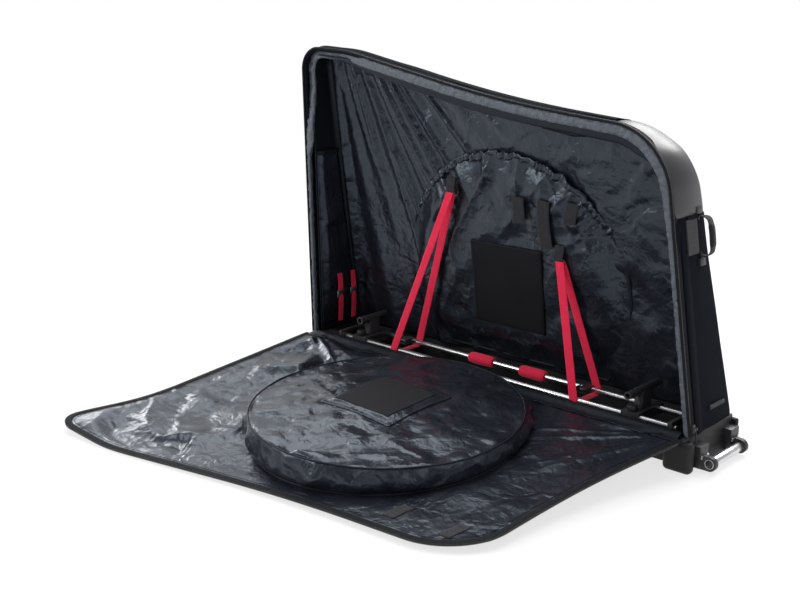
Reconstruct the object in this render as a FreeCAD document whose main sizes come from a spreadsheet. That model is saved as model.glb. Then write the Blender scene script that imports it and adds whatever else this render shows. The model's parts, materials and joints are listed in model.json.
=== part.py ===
import FreeCAD, Part
import math
import os
import re

import Sketcher

# Bike travel case lying open: X runs along the case, -Y is the front with the open flap,
# Z is up and the floor is at Z = 0. The back leans forward, so the case is slimmer at the top.
# All sizes are millimetres.

SIZES = {
    # Front outline of the case, from the left foot over the top to the right foot; a drop is a distance
    # below the tall end's top
    "base_left": 637, "base_right": 649, "rim_height": 88, "top_left": 660, "tall_height": 937,
    "flat_length": 170, "dip_along": 60, "dip_drop": 102, "shoulder_along": 536,
    "shoulder_drop": 140, "corner_radius": 60, "crest_radius": 500, "dip_radius": 3900,
    "shoulder_radius": 175,
    # Walls and seams
    "case_depth": 216, "top_depth": 106, "wall": 14, "back_wall": 12, "seam_gap": 0.2,
    "left_seam_drop": 157, "top_seam": 390, "right_seam_drop": 341, "lip_thick": 8,
    "lip_depth": 30, "tape_thick": 2.5, "tape_depth": 22,
    # Tub and skids
    "skid_height": 12, "skid_width": 24, "skid_spacing": 76, "skid_setback": 70, "tub_wall": 5,
    "tub_floor": 5,
    # Transport wheels
    "wheel_radius": 33, "wheel_width": 28, "wheel_setback": 24, "tread": 9, "bearing_radius": 11,
    "bearing_width": 7, "axle_radius": 4, "axle_head": 7, "head_thick": 3, "housing_length": 82,
    "cheek": 8, "side_gap": 4, "wheel_gap": 5, "tyre_bevel": 3, "core_gap": 3, "running_gap": 0.06,
    # Fold of the flap
    "fold_offset": 9, "bead_radius": 4, "hem_radius": 8, "hem_gap": 0.3, "hem_flange": 20,
    "ear_length": 12, "ear_size": 18, "hem_end_gap": 3, "floor_gap": 0.5,
    # Flap and its drum pocket
    "flap_thick": 6, "flap_margin": 6, "flap_tape": 20, "drum_radius": 343, "drum_height": 68,
    "drum_cloth": 3, "drum_along": 12, "drum_rise": 353, "piping_radius": 4, "patch_side": 230,
    "patch_thick": 2, "mouth_width": 420,
    # Back wheel pocket
    "pocket_radius": 375, "pocket_centre": 324, "pocket_depth": 35, "pocket_cloth": 3,
    "pocket_foot": 100, "pocket_top": 690, "hem_thick": 4, "hem_tall": 14, "hub_side": 240,
    "hub_thick": 2, "tab_top": 590, "tab_width": 40, "tab_thick": 3, "tab_long": 130,
    "tab_short": 70, "tab_spacing": 80, "tab_along": 140,
    # Side pocket on the left wall
    "side_pocket_depth": 20, "side_pocket_margin": 38, "side_pocket_foot": 112,
    "side_pocket_top": 635, "side_pocket_cloth": 3,
    # Stiffener rods
    "rod_radius": 9, "rod_inset": 24, "rod_wall_gap": 1, "left_rod_drop": 42,
    "right_rod_drop": 437,
    # Tow bar
    "tow_radius": 12, "tow_bore": 10, "tow_length": 166, "tow_reach": 29, "tow_height": 24,
    "tow_bracket_thick": 13, "tow_bracket_tall": 36, "tow_flange_width": 40,
    "tow_flange_tall": 54, "tow_flange_thick": 14, "plug_length": 15,
    # Screws
    "screw_radius": 2.5, "screw_head": 5, "screw_head_thick": 3, "screw_gap": 0.1,
    "tow_screw_spacing": 27, "screw_end": 5, "stand_screw_length": 9,
    # Stand
    "rail_radius": 8, "rail_height": 86, "rail_setback": 38, "rail_gap": 36, "stand_gap": 12,
    "stand_right": 585, "stand_plate": 12, "stand_margin": 18, "stand_foot": 34,
    "stand_foot_thick": 5, "stand_window": 24, "rail_end": 5,
    # Carriages on the rails
    "fork_setback": 73, "rear_setback": 115, "carriage_length": 50, "carriage_margin": 14,
    "carriage_half": 14, "knob_room": 13.5, "post_thick": 24, "axle_rise": 46, "fork_bore": 7.5,
    "fork_width": 110, "rear_bore": 6, "rear_width": 148, "axle_wall": 4, "knob_radius": 14,
    "knob_tall": 16, "stem_radius": 4, "knob_rest_gap": 0.4,
    # Straps and buckles
    "strap_width": 25, "strap_thick": 2, "strap_gap": 0.3, "left_strap_along": 330,
    "right_strap_along": 300, "buckle_length": 44, "buckle_width": 34, "buckle_base": 3,
    "buckle_side": 3, "buckle_tall": 16, "buckle_pin": 2, "lever_thick": 3, "lever_length": 34,
    "lever_eye": 4.5, "lever_side_gap": 0.6, "fork_strap_long": 150, "fork_strap_top": 262,
    "fork_strap_width": 20, "fork_strap_spacing": 56, "ladder_width": 28, "ladder_tall": 22,
    "ladder_thick": 4, "sleeve_radius": 17, "sleeve_length": 84, "sleeve_left": 40,
    "sleeve_right": 140,
    # Grab handles
    "handle_drop": 389, "handle_span": 62, "handle_block": 18, "handle_block_deep": 24,
    "handle_block_thick": 12, "handle_axis": 7, "handle_pin": 3, "handle_eye": 6.2,
    "handle_eye_long": 14, "handle_eye_gap": 0.5, "handle_reach": 33, "handle_grip": 8,
    "handle_arm": 8,
    # Zip sliders
    "slider_height": 106, "slider_rise": 0.3, "slider_thick": 6, "slider_width": 12,
    "slider_length": 20, "slider_setback": 11, "lug_thick": 3, "lug_tall": 6, "lug_length": 6,
    "pull_pin": 1.2, "pull_thick": 2.4, "pull_length": 34, "pull_gap": 0.5,
}

ALONG_X = FreeCAD.Rotation(FreeCAD.Vector(0, 1, 0), 90)
ALONG_Y = FreeCAD.Rotation(FreeCAD.Vector(1, 0, 0), -90)
ALONG_Z = FreeCAD.Rotation()
FAR = "(2 * (base_left + base_right))"

doc = FreeCAD.newDocument("bike_travel_case")
sheet = doc.addObject("Spreadsheet::Sheet", "Sizes")
for row, (alias, value) in enumerate(SIZES.items(), start=1):
    sheet.set(f"A{row}", alias)
    sheet.set(f"B{row}", str(value))
    sheet.setAlias(f"B{row}", alias)
doc.recompute()

nodes = []


def size(alias):
    """One driving size, read from the sheet."""
    return float(getattr(sheet, alias))


def formula(text):
    """An expression whose size names point at the sheet."""
    return re.sub(r"[a-z_]+", lambda word: "Sizes." + word[0] if word[0] in SIZES else word[0], text)


def bind(item, **expressions):
    """Tie properties of an object to sizes of the sheet."""
    for name, text in expressions.items():
        item.setExpression(name, formula(text))
    return item


def locate(item, place, turn=ALONG_Z):
    """Turn an object and tie its position to sizes of the sheet."""
    item.Placement = FreeCAD.Placement(FreeCAD.Vector(), turn)
    for letter, text in zip("xyz", place):
        item.setExpression(".Placement.Base." + letter, formula(text))
    return item


def box(name, place, length, width, height):
    """A block from its lowest corner."""
    item = bind(doc.addObject("Part::Box", name), Length=length, Width=width, Height=height)
    return locate(item, place)


def rod(name, place, radius, height, turn=ALONG_Z):
    """A round bar from the centre of its first end."""
    item = bind(doc.addObject("Part::Cylinder", name), Radius=radius, Height=height)
    return locate(item, place, turn)


def fuse(name, *shapes):
    """One solid from touching or overlapping shapes."""
    item = doc.addObject("Part::MultiFuse", name)
    item.Shapes = list(shapes)
    return item


def cut(name, base, *tools):
    """A shape less one or more others."""
    item = doc.addObject("Part::Cut", name)
    item.Base = base
    item.Tool = tools[0] if len(tools) == 1 else fuse(name + "_tools", *tools)
    return item


def common(name, *shapes):
    """What two shapes share."""
    item = doc.addObject("Part::MultiCommon", name)
    item.Shapes = list(shapes)
    return item


def group(name, *items):
    """Several separate solids under one name."""
    item = doc.addObject("Part::Compound", name)
    item.Links = list(items)
    return item


def solid(name, shape):
    """A shape made in code."""
    item = doc.addObject("Part::Feature", name)
    item.Shape = shape
    return item


def node(item, label):
    """Name a finished sub-part."""
    item.Label = label
    nodes.append(item)
    return item


def profile(body, name, corners):
    """A closed sketch on the body's front plane, each corner tied to two expressions."""
    sketch = body.newObject("Sketcher::SketchObject", name)
    plane = next(item for item in body.Origin.OriginFeatures if item.Role == "XZ_Plane")
    sketch.AttachmentSupport = [(plane, "")]
    sketch.MapMode = "FlatFace"
    count = len(corners)
    turn = 2 * math.pi / count
    start = [FreeCAD.Vector(math.cos(turn * i), math.sin(turn * i), 0) * 100 for i in range(count)]
    for i in range(count):
        sketch.addGeometry(Part.LineSegment(start[i], start[(i + 1) % count]), False)
    for i in range(count):
        sketch.addConstraint(Sketcher.Constraint("Coincident", i, 2, (i + 1) % count, 1))
    for i, corner in enumerate(corners):
        for kind, text in zip(("DistanceX", "DistanceY"), corner):
            index = sketch.addConstraint(Sketcher.Constraint(kind, -1, 1, i, 1, 1.0))
            sketch.setExpression(f"Constraints[{index}]", formula(text))
    doc.recompute()
    return sketch


def padded(name, corners, depth):
    """A front profile padded evenly to both sides of the body's front plane."""
    body = doc.addObject("PartDesign::Body", name)
    pad = body.newObject("PartDesign::Pad", name + "_pad")
    pad.Profile = profile(body, name + "_profile", corners)
    pad.SideType = "Symmetric"
    bind(pad, Length=depth)
    return body


def turned(name, corners):
    """A profile of radius and height turned about the body's upright axis."""
    body = doc.addObject("PartDesign::Body", name)
    sketch = profile(body, name + "_profile", corners)
    turning = body.newObject("PartDesign::Revolution", name + "_turning")
    turning.Profile = sketch
    turning.ReferenceAxis = (sketch, ["V_Axis"])
    turning.Angle = 360
    return body


# Leans of the two end walls and of the back, as travel for each millimetre of height

LEFT_LEAN = "((top_left - base_left) / (tall_height - rim_height))"
RIGHT_LEAN = "((base_right - shoulder_along) / (tall_height - shoulder_drop - rim_height))"
left_lean = (size("top_left") - size("base_left")) / (size("tall_height") - size("rim_height"))
right_lean = (size("base_right") - size("shoulder_along")) / (
    size("tall_height") - size("shoulder_drop") - size("rim_height"))
BACK_LEAN = "((case_depth - top_depth) / (tall_height - rim_height))"
back_lean = (size("case_depth") - size("top_depth")) / (size("tall_height") - size("rim_height"))
FRONT = "(-case_depth / 2)"
TUB_RIGHT = f"(base_right + {RIGHT_LEAN} * rim_height)"


def crossing(point, along, other, other_along):
    """Where two lines meet in the front plane."""
    span = along[0] * other_along[1] - along[1] * other_along[0]
    gap = (other[0] - point[0], other[1] - point[1])
    share = (gap[0] * other_along[1] - gap[1] * other_along[0]) / span
    return (point[0] + along[0] * share, point[1] + along[1] * share)


def outline_edges(inset, foot, level):
    """Edges of the front outline moved inward by inset, from left foot to right foot.

    The feet stand at height foot and the edges lie in the plane Y = level.
    """
    corners = [
        (-size("base_left"), size("rim_height")), (-size("top_left"), size("tall_height")),
        (-size("top_left") + size("flat_length"), size("tall_height")),
        (size("dip_along"), size("tall_height") - size("dip_drop")),
        (size("shoulder_along"), size("tall_height") - size("shoulder_drop")),
        (size("base_right"), size("rim_height"))]
    radii = [size(name + "_radius") for name in ("corner", "crest", "dip", "shoulder")]
    ways, starts = [], []
    for first, second in zip(corners, corners[1:]):
        length = math.dist(first, second)
        way = ((second[0] - first[0]) / length, (second[1] - first[1]) / length)
        ways.append(way)
        starts.append((first[0] + way[1] * inset, first[1] - way[0] * inset))
    ground = (0.0, foot)
    moved = [crossing(starts[0], ways[0], ground, (1.0, 0.0))]
    for i in range(len(ways) - 1):
        moved.append(crossing(starts[i], ways[i], starts[i + 1], ways[i + 1]))
    moved.append(crossing(starts[-1], ways[-1], ground, (1.0, 0.0)))
    stops = [moved[0]]
    edges = []

    def point(pair):
        return FreeCAD.Vector(pair[0], level, pair[1])

    for i, radius in enumerate(radii):
        before, after, corner = ways[i], ways[i + 1], moved[i + 1]
        bend = before[0] * after[1] - before[1] * after[0]
        half = math.asin(bend) / 2
        round_radius = radius + math.copysign(inset, bend)
        reach = round_radius * math.tan(abs(half))
        rise = round_radius / math.cos(half) - round_radius
        toward = (after[0] - before[0], after[1] - before[1])
        scale = rise / math.hypot(*toward)
        enter = (corner[0] - before[0] * reach, corner[1] - before[1] * reach)
        leave = (corner[0] + after[0] * reach, corner[1] + after[1] * reach)
        middle = (corner[0] + toward[0] * scale, corner[1] + toward[1] * scale)
        edges.append(Part.LineSegment(point(stops[-1]), point(enter)).toShape())
        edges.append(Part.Arc(point(enter), point(middle), point(leave)).toShape())
        stops.append(leave)
    edges.append(Part.LineSegment(point(stops[-1]), point(moved[-1])).toShape())
    return edges, point(moved[0]), point(moved[-1])


def outline_plate(name, inset, foot, level, depth):
    """A plate that fills the front outline."""
    edges, left, right = outline_edges(inset, foot, level)
    edges.append(Part.LineSegment(right, left).toShape())
    face = Part.Face(Part.Wire(Part.__sortEdges__(edges)))
    return solid(name, face.extrude(FreeCAD.Vector(0, depth, 0)))


def outline_band(name, outer, inner, foot, level, depth):
    """A band along the front outline, between two insets."""
    edges, outer_left, outer_right = outline_edges(outer, foot, level)
    inner_edges, inner_left, inner_right = outline_edges(inner, foot, level)
    edges += inner_edges
    edges.append(Part.LineSegment(outer_left, inner_left).toShape())
    edges.append(Part.LineSegment(outer_right, inner_right).toShape())
    face = Part.Face(Part.Wire(Part.__sortEdges__(edges)))
    return solid(name, face.extrude(FreeCAD.Vector(0, depth, 0)))


front = -size("case_depth") / 2
rim = size("rim_height")
back_turn = FreeCAD.Rotation(FreeCAD.Vector(1, 0, 0), math.degrees(math.atan(back_lean)))
back_swing = FreeCAD.Placement(FreeCAD.Vector(), back_turn, FreeCAD.Vector(0, -front, rim))


def leaning(name, item):
    """A piece built upright against the back, swung forward with it about the back's foot."""
    swung = group(name, item)
    swung.Placement = back_swing
    return swung


def behind(name, level):
    """All that lies behind a plane parallel to the back, which is at a given level at the rim."""
    block = box(name + "_block", (f"-{FAR}", level, f"-{FAR}"), f"2 * {FAR}", FAR, f"2 * {FAR}")
    return leaning(name, block)


# Screws: each is a head on a shank, with a hole of its own in what it passes through


def screw(name, place, length, turn=ALONG_Z):
    """A screw whose head starts at its place and whose shank runs back from there."""
    body = turned(name, [
        ("0", f"-{length}"), ("screw_radius", f"-{length}"), ("screw_radius", "0"),
        ("screw_head", "0"), ("screw_head", "screw_head_thick"), ("0", "screw_head_thick")])
    return locate(body, place, turn)


def screw_hole(name, place, length, turn=ALONG_Z):
    """The hole that a screw's shank passes through."""
    body = turned(name, [
        ("0", f"-{length} - screw_gap"), ("screw_radius + screw_gap", f"-{length} - screw_gap"),
        ("screw_radius + screw_gap", "0"), ("0", "0")])
    return locate(body, place, turn)


TOW_ALONG = f"({TUB_RIGHT} + tow_reach)"
TOW_FLANGE_FACE = f"({TUB_RIGHT} + tow_flange_thick - {RIGHT_LEAN} * skid_height)"
TOW_SIDE = "(tow_length / 2 - tow_bracket_thick / 2)"
TOW_FLANGE_MIDDLE = "(skid_height + tow_flange_tall / 2)"
STAND_FLOOR = "(skid_height + tub_floor)"
STAND_TOP = f"({STAND_FLOOR} + stand_foot_thick)"
RAIL_FRONT = "(case_depth / 2 - rail_setback)"
RAIL_REAR = "(case_depth / 2 - back_wall - pocket_depth - rail_gap)"
STAND_MIDDLE = f"(({RAIL_REAR} - {RAIL_FRONT}) / 2)"
TOW_SCREW_LENGTH = f"({TOW_FLANGE_FACE} - base_right + tub_wall + screw_end)"
STAND_LEFT = "(base_left - housing_length - stand_gap)"

screws, screw_holes = [], []
for side in ("-", ""):
    for shift in ("-", "+"):
        spot = (TOW_FLANGE_FACE, f"{side}({TOW_SIDE}) {shift} tow_screw_spacing / 2", TOW_FLANGE_MIDDLE)
        key = f"tow_screw_{len(screws)}"
        screws.append(screw(key, spot, TOW_SCREW_LENGTH, ALONG_X))
        screw_holes.append(screw_hole(key + "_hole", spot, TOW_SCREW_LENGTH, ALONG_X))
for end, inward in ((f"-{STAND_LEFT}", "+"), ("stand_right", "-")):
    for rail in (f"-{RAIL_FRONT}", RAIL_REAR):
        spot = (f"{end} {inward} (stand_plate / 2 + stand_foot / 2)", rail, STAND_TOP)
        key = f"stand_screw_{len(screws)}"
        screws.append(screw(key, spot, "stand_screw_length"))
        screw_holes.append(screw_hole(key + "_hole", spot, "stand_screw_length"))
node(group("base_screw_set", *screws), "base_screws")

# Base tub with ears for the fold bead, and the wheel housings in its left corners

tub_block = padded("tub_block", [
    (f"-base_left + {LEFT_LEAN} * (rim_height - skid_height)", "skid_height"),
    (f"base_right + {RIGHT_LEAN} * (rim_height - skid_height)", "skid_height"),
    ("base_right", "rim_height"), ("-base_left", "rim_height")], "case_depth")
tub_room = box("tub_room", ("-base_left + tub_wall", f"{FRONT} + tub_wall", STAND_FLOOR),
               "base_left + base_right - 2 * tub_wall", "case_depth - 2 * tub_wall", "rim_height")
HOUSING_WIDTH = "(wheel_width + 2 * side_gap + 2 * cheek)"
AXLE_ALONG = "(-base_left + wheel_setback)"
corner_blocks = []
for label, start in (("front", FRONT), ("rear", f"case_depth / 2 - {HOUSING_WIDTH}")):
    corner_blocks.append(box(f"corner_{label}", ("-base_left - wall", start, "0"),
                             "housing_length + wall", HOUSING_WIDTH, "rim_height + wall"))
AXIS_Y = f"({FRONT} - fold_offset)"
ears = []
for label, start in (("left", "-base_left"), ("right", "base_right - ear_length")):
    ears.append(box(f"ear_{label}", (start, f"{AXIS_Y} - ear_size / 2", "rim_height - ear_size / 2"),
                    "ear_length", "fold_offset + ear_size / 2", "ear_size / 2"))
tub_shell = cut("tub_shell", tub_block, tub_room, *corner_blocks)
tub_eared = fuse("tub_eared", tub_shell, ears[1])
node(cut("tub", tub_eared, *screw_holes), "base_tub")

axles = []
for label, block, side in (("front", corner_blocks[0], "-"), ("rear", corner_blocks[1], "")):
    middle = f"{side}(case_depth / 2 - {HOUSING_WIDTH} / 2)"
    cavity = box(f"cavity_{label}",
                 ("-base_left - wall", f"{middle} - wheel_width / 2 - side_gap", "0"),
                 "wall + wheel_setback + wheel_radius + wheel_gap", "wheel_width + 2 * side_gap",
                 "2 * wheel_radius + wheel_gap")
    bore = rod(f"axle_bore_{label}", (AXLE_ALONG, f"{middle} - {HOUSING_WIDTH}", "wheel_radius"),
               "axle_radius + running_gap", f"2 * {HOUSING_WIDTH}", ALONG_Y)
    corner = common(f"housing_block_{label}", tub_block, block)
    housing = cut(f"housing_{label}", corner, cavity, bore)
    if label == "front":
        housing = fuse("housing_eared", housing, ears[0])
    node(housing, f"wheel_housing_{label}")
    axle = turned(f"axle_{label}", [
        ("0", f"-{HOUSING_WIDTH} / 2"), ("axle_radius", f"-{HOUSING_WIDTH} / 2"),
        ("axle_radius", f"{HOUSING_WIDTH} / 2"), ("axle_head", f"{HOUSING_WIDTH} / 2"),
        ("axle_head", f"{HOUSING_WIDTH} / 2 + head_thick"), ("0", f"{HOUSING_WIDTH} / 2 + head_thick")])
    outward = FreeCAD.Rotation(FreeCAD.Vector(1, 0, 0), 90 if side else -90)
    axles.append(locate(axle, (AXLE_ALONG, middle, "wheel_radius"), outward))
    tyre = turned(f"tyre_{label}", [
        ("wheel_radius - tread", "-wheel_width / 2"), ("wheel_radius - tyre_bevel", "-wheel_width / 2"),
        ("wheel_radius", "-wheel_width / 2 + tyre_bevel"), ("wheel_radius", "wheel_width / 2 - tyre_bevel"),
        ("wheel_radius - tyre_bevel", "wheel_width / 2"), ("wheel_radius - tread", "wheel_width / 2")])
    core = turned(f"core_{label}", [
        ("axle_radius + core_gap", "-wheel_width / 2 + bearing_width"),
        ("bearing_radius", "-wheel_width / 2 + bearing_width"),
        ("bearing_radius", "-wheel_width / 2"), ("wheel_radius - tread", "-wheel_width / 2"),
        ("wheel_radius - tread", "wheel_width / 2"), ("bearing_radius", "wheel_width / 2"),
        ("bearing_radius", "wheel_width / 2 - bearing_width"),
        ("axle_radius + core_gap", "wheel_width / 2 - bearing_width")])
    rings = []
    for end, low in (("inner", "-wheel_width / 2"), ("outer", "wheel_width / 2 - bearing_width")):
        ring = turned(f"bearing_{label}_{end}", [
            ("axle_radius + running_gap", low), ("bearing_radius", low),
            ("bearing_radius", f"{low} + bearing_width"),
            ("axle_radius + running_gap", f"{low} + bearing_width")])
        rings.append(ring)
    bearings = group(f"bearings_{label}", *rings)
    for item, label_part in ((tyre, "tyre"), (core, "core"), (bearings, "bearings")):
        locate(item, (AXLE_ALONG, middle, "wheel_radius"), ALONG_Y)
        node(item, f"wheel_{label_part}_{label}")
node(group("axle_pair", *axles), "wheel_axles")

runners = []
for label, side in (("front", "-skid_spacing"), ("middle", "0"), ("rear", "skid_spacing")):
    runners.append(box(f"skid_{label}", ("-base_left + housing_length + skid_setback",
                                         f"{side} - skid_width / 2", "0"),
                       "base_left + base_right - housing_length - 2 * skid_setback",
                       "skid_width", "skid_height"))
node(group("skid_set", *runners), "skid_runners")

# Cloth walls, split at their seams, with the back panel, lip and zip tape

LEFT_SEAM = "(tall_height - left_seam_drop)"
RIGHT_SEAM = "(tall_height - right_seam_drop)"
wall_band = outline_band("wall_band", 0, size("wall"), rim, front, size("case_depth"))
wall_shell = cut("wall_shell", wall_band, behind("behind_walls", "case_depth / 2"))
left_part = box("left_part", (f"-{FAR}", f"-{FAR}", "0"), FAR, f"2 * {FAR}", LEFT_SEAM)
top_part = box("top_part", (f"-{FAR}", f"-{FAR}", LEFT_SEAM), f"{FAR} + top_seam", f"2 * {FAR}", FAR)
shoulder_part = box("shoulder_part", ("top_seam", f"-{FAR}", RIGHT_SEAM), FAR, f"2 * {FAR}", FAR)
right_part = box("right_part", ("0", f"-{FAR}", "0"), FAR, f"2 * {FAR}", RIGHT_SEAM)
node(common("left_wall", wall_shell, left_part), "left_end_wall")
node(common("roof", wall_shell, top_part), "top_wall")
node(common("shoulder", wall_shell, shoulder_part), "shoulder_panel")
node(common("right_wall", wall_shell, right_part), "right_end_wall")

inside = size("wall") + size("seam_gap")
inner_room = outline_plate("inner_room", inside, rim, front, size("case_depth"))
BACK_FACE = "(case_depth / 2 - back_wall)"
back_slab = box("back_slab", (f"-{FAR}", BACK_FACE, f"-{FAR}"), f"2 * {FAR}", "back_wall", f"2 * {FAR}")
node(common("back", inner_room, leaning("back_layer", back_slab)), "back_panel")
node(outline_band("lip", inside, inside + size("lip_thick"), rim, front, size("lip_depth")), "inner_lip")
tape_inset = -size("seam_gap")
node(outline_band("zip_tape", tape_inset - size("tape_thick"), tape_inset, rim, front,
                  size("tape_depth")), "case_zip_tape")

ROD_ACROSS = f"({BACK_FACE} - rod_wall_gap - rod_radius)"
left_rod = rod("left_rod", ("-base_left + rod_inset", ROD_ACROSS,
                            f"rim_height + {BACK_LEAN} * rod_radius + seam_gap"),
               "rod_radius", "tall_height - left_rod_drop - rim_height", back_turn)
right_turn = FreeCAD.Rotation(FreeCAD.Vector(0, 1, 0), -math.degrees(math.atan(right_lean)))
ROD_TIP = f"(sqrt({RIGHT_LEAN} ^ 2 + {BACK_LEAN} ^ 2) * rod_radius)"
right_rod = rod("right_rod", ("base_right - wall - rod_inset", ROD_ACROSS,
                              f"{STAND_FLOOR} + {ROD_TIP} + seam_gap"),
                "rod_radius", "tall_height - right_rod_drop", back_turn.multiply(right_turn))
node(group("rods", left_rod, right_rod), "stiffener_rods")

# Fold bead on the front rim and everything that turns about it, built closed and then opened

open_angle = 90 + math.degrees(math.asin(
    (rim - size("floor_gap") - size("flap_thick") / 2)
    / (size("tall_height") - rim + size("flap_margin"))))
fold_axis = FreeCAD.Vector(0, front - size("fold_offset"), rim)
opened = FreeCAD.Placement(
    FreeCAD.Vector(), FreeCAD.Rotation(FreeCAD.Vector(1, 0, 0), open_angle), fold_axis)


def flap_node(item, label):
    """Name a piece of the flap and swing it from closed to open."""
    item.Placement = opened.multiply(item.Placement)
    return node(item, label)


BEAD_START = "(-base_left + ear_length)"
BEAD_LENGTH = "(base_left + base_right - 2 * ear_length)"
node(rod("bead", (BEAD_START, AXIS_Y, "rim_height"), "bead_radius", BEAD_LENGTH, ALONG_X), "fold_bead")

hem_tube = rod("hem_tube", (f"{BEAD_START} + hem_end_gap", AXIS_Y, "rim_height"), "hem_radius",
               f"{BEAD_LENGTH} - 2 * hem_end_gap", ALONG_X)
hem_flange = box("hem_flange_block", (f"{BEAD_START} + hem_end_gap", f"{AXIS_Y} - flap_thick / 2",
                                      "rim_height"),
                 f"{BEAD_LENGTH} - 2 * hem_end_gap", "flap_thick", "hem_flange")
hem_bore = rod("hem_bore", (BEAD_START, AXIS_Y, "rim_height"), "bead_radius + hem_gap", BEAD_LENGTH,
               ALONG_X)
flap_node(cut("hem", fuse("hem_block", hem_tube, hem_flange), hem_bore), "flap_hem")

flap_foot = rim + size("hem_flange")
flap_level = fold_axis.y - size("flap_thick") / 2
panel_inset = size("flap_tape") - size("flap_margin")
flap_node(outline_plate("panel", panel_inset, flap_foot, flap_level, size("flap_thick")), "flap_panel")
flap_node(outline_band("flap_zip", -size("flap_margin"), panel_inset, flap_foot, flap_level,
                       size("flap_thick")), "flap_zip_tape")

DRUM_FLOOR = f"({AXIS_Y} + flap_thick / 2)"
DRUM_CENTRE = "(rim_height + drum_rise)"
drum_outer = rod("drum_outer", ("drum_along", DRUM_FLOOR, DRUM_CENTRE), "drum_radius",
                 "drum_height - drum_cloth", ALONG_Y)
drum_inner = rod("drum_inner", ("drum_along", DRUM_FLOOR, DRUM_CENTRE), "drum_radius - drum_cloth",
                 "drum_height", ALONG_Y)
drum_mouth = box("drum_mouth", ("drum_along - mouth_width / 2", f"{DRUM_FLOOR} + drum_cloth",
                                f"{DRUM_CENTRE} - drum_radius - drum_cloth"),
                 "mouth_width", "drum_height", "drum_radius")
flap_node(cut("drum_ring", drum_outer, drum_inner, drum_mouth), "drum_side")
DRUM_TOP = f"({DRUM_FLOOR} + drum_height)"
drum_disc = rod("drum_disc", ("drum_along", f"{DRUM_TOP} - drum_cloth", DRUM_CENTRE), "drum_radius",
                "drum_cloth", ALONG_Y)
flap_node(group("drum_lid", drum_disc), "drum_top")
piping = bind(doc.addObject("Part::Torus", "piping"), Radius2="piping_radius",
              Radius1="drum_radius + piping_radius + seam_gap")
locate(piping, ("drum_along", f"{DRUM_TOP} - piping_radius", DRUM_CENTRE), ALONG_Y)
flap_node(group("piping_ring", piping), "drum_piping")
hub_patch = box("hub_patch", ("drum_along - patch_side / 2", DRUM_TOP, f"{DRUM_CENTRE} - patch_side / 2"),
                "patch_side", "patch_thick", "patch_side")
flap_node(group("patch", hub_patch), "drum_hub_patch")

# Round wheel pocket on the back panel, built upright and then leant with it

POCKET_FACE = f"({BACK_FACE} - pocket_depth)"
pocket_disc = rod("pocket_disc", ("0", POCKET_FACE, "pocket_centre"), "pocket_radius",
                  "pocket_depth", ALONG_Y)
pocket_span = box("pocket_span", (f"-{FAR}", POCKET_FACE, "pocket_foot"), f"2 * {FAR}",
                  "pocket_depth", "pocket_top - pocket_foot")
room_disc = rod("room_disc", ("0", f"{POCKET_FACE} + pocket_cloth", "pocket_centre"),
                "pocket_radius - pocket_cloth", "pocket_depth", ALONG_Y)
room_span = box("room_span", (f"-{FAR}", POCKET_FACE, "pocket_foot + pocket_cloth"), f"2 * {FAR}",
                "2 * pocket_depth", FAR)
pocket = cut("pocket", common("pocket_block", pocket_disc, pocket_span),
             common("pocket_room", room_disc, room_span))
node(leaning("pocket_leant", pocket), "back_wheel_pocket")
HEM_HALF = "sqrt(pocket_radius ^ 2 - (pocket_top - pocket_centre) ^ 2)"
HEM_FACE = f"({POCKET_FACE} - hem_thick)"
hem_strip = box("pocket_hem_strip", (f"-{HEM_HALF}", HEM_FACE, "pocket_top - hem_tall"),
                f"2 * {HEM_HALF}", "hem_thick", "hem_tall")
node(leaning("hem_leant", hem_strip), "pocket_hem")
hub_square = box("hub_square", ("-hub_side / 2", f"{POCKET_FACE} - hub_thick",
                                "pocket_centre - hub_side / 2"), "hub_side", "hub_thick", "hub_side")
node(leaning("hub_leant", hub_square), "pocket_hub_plate")
tabs = []
for index, length in ((-1, "tab_short"), (0, "tab_long"), (1, "tab_short")):
    tabs.append(box(f"tab_{index + 2}", (f"tab_along + {index} * tab_spacing - tab_width / 2",
                                         f"{POCKET_FACE} - tab_thick", f"tab_top - {length}"),
                    "tab_width", "tab_thick", length))
node(leaning("tabs_leant", group("tabs", *tabs)), "pocket_tabs")

# Flat pocket on the left wall

SIDE_FACE = "(-base_left + wall + side_pocket_depth)"
SIDE_HALF = "(case_depth / 2 - side_pocket_margin)"
side_block = box("side_block", (f"-{FAR}", f"-{SIDE_HALF}", "side_pocket_foot"),
                 f"{FAR} + {SIDE_FACE}", f"2 * {SIDE_HALF}", "side_pocket_top - side_pocket_foot")
side_hollow = box("side_hollow", (f"-{FAR}", f"-{SIDE_HALF} + side_pocket_cloth",
                                  "side_pocket_foot + side_pocket_cloth"),
                  f"{FAR} + {SIDE_FACE} - side_pocket_cloth",
                  f"2 * {SIDE_HALF} - 2 * side_pocket_cloth", FAR)
side_outer = cut("side_outer", common("side_upright", inner_room, side_block),
                 behind("behind_side", SIDE_HALF))
side_inner = cut("side_inner", side_hollow, behind("behind_hollow", f"{SIDE_HALF} - side_pocket_cloth"))
node(cut("side_bag", side_outer, side_inner), "side_pocket")

# Tow bar across the right end

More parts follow.
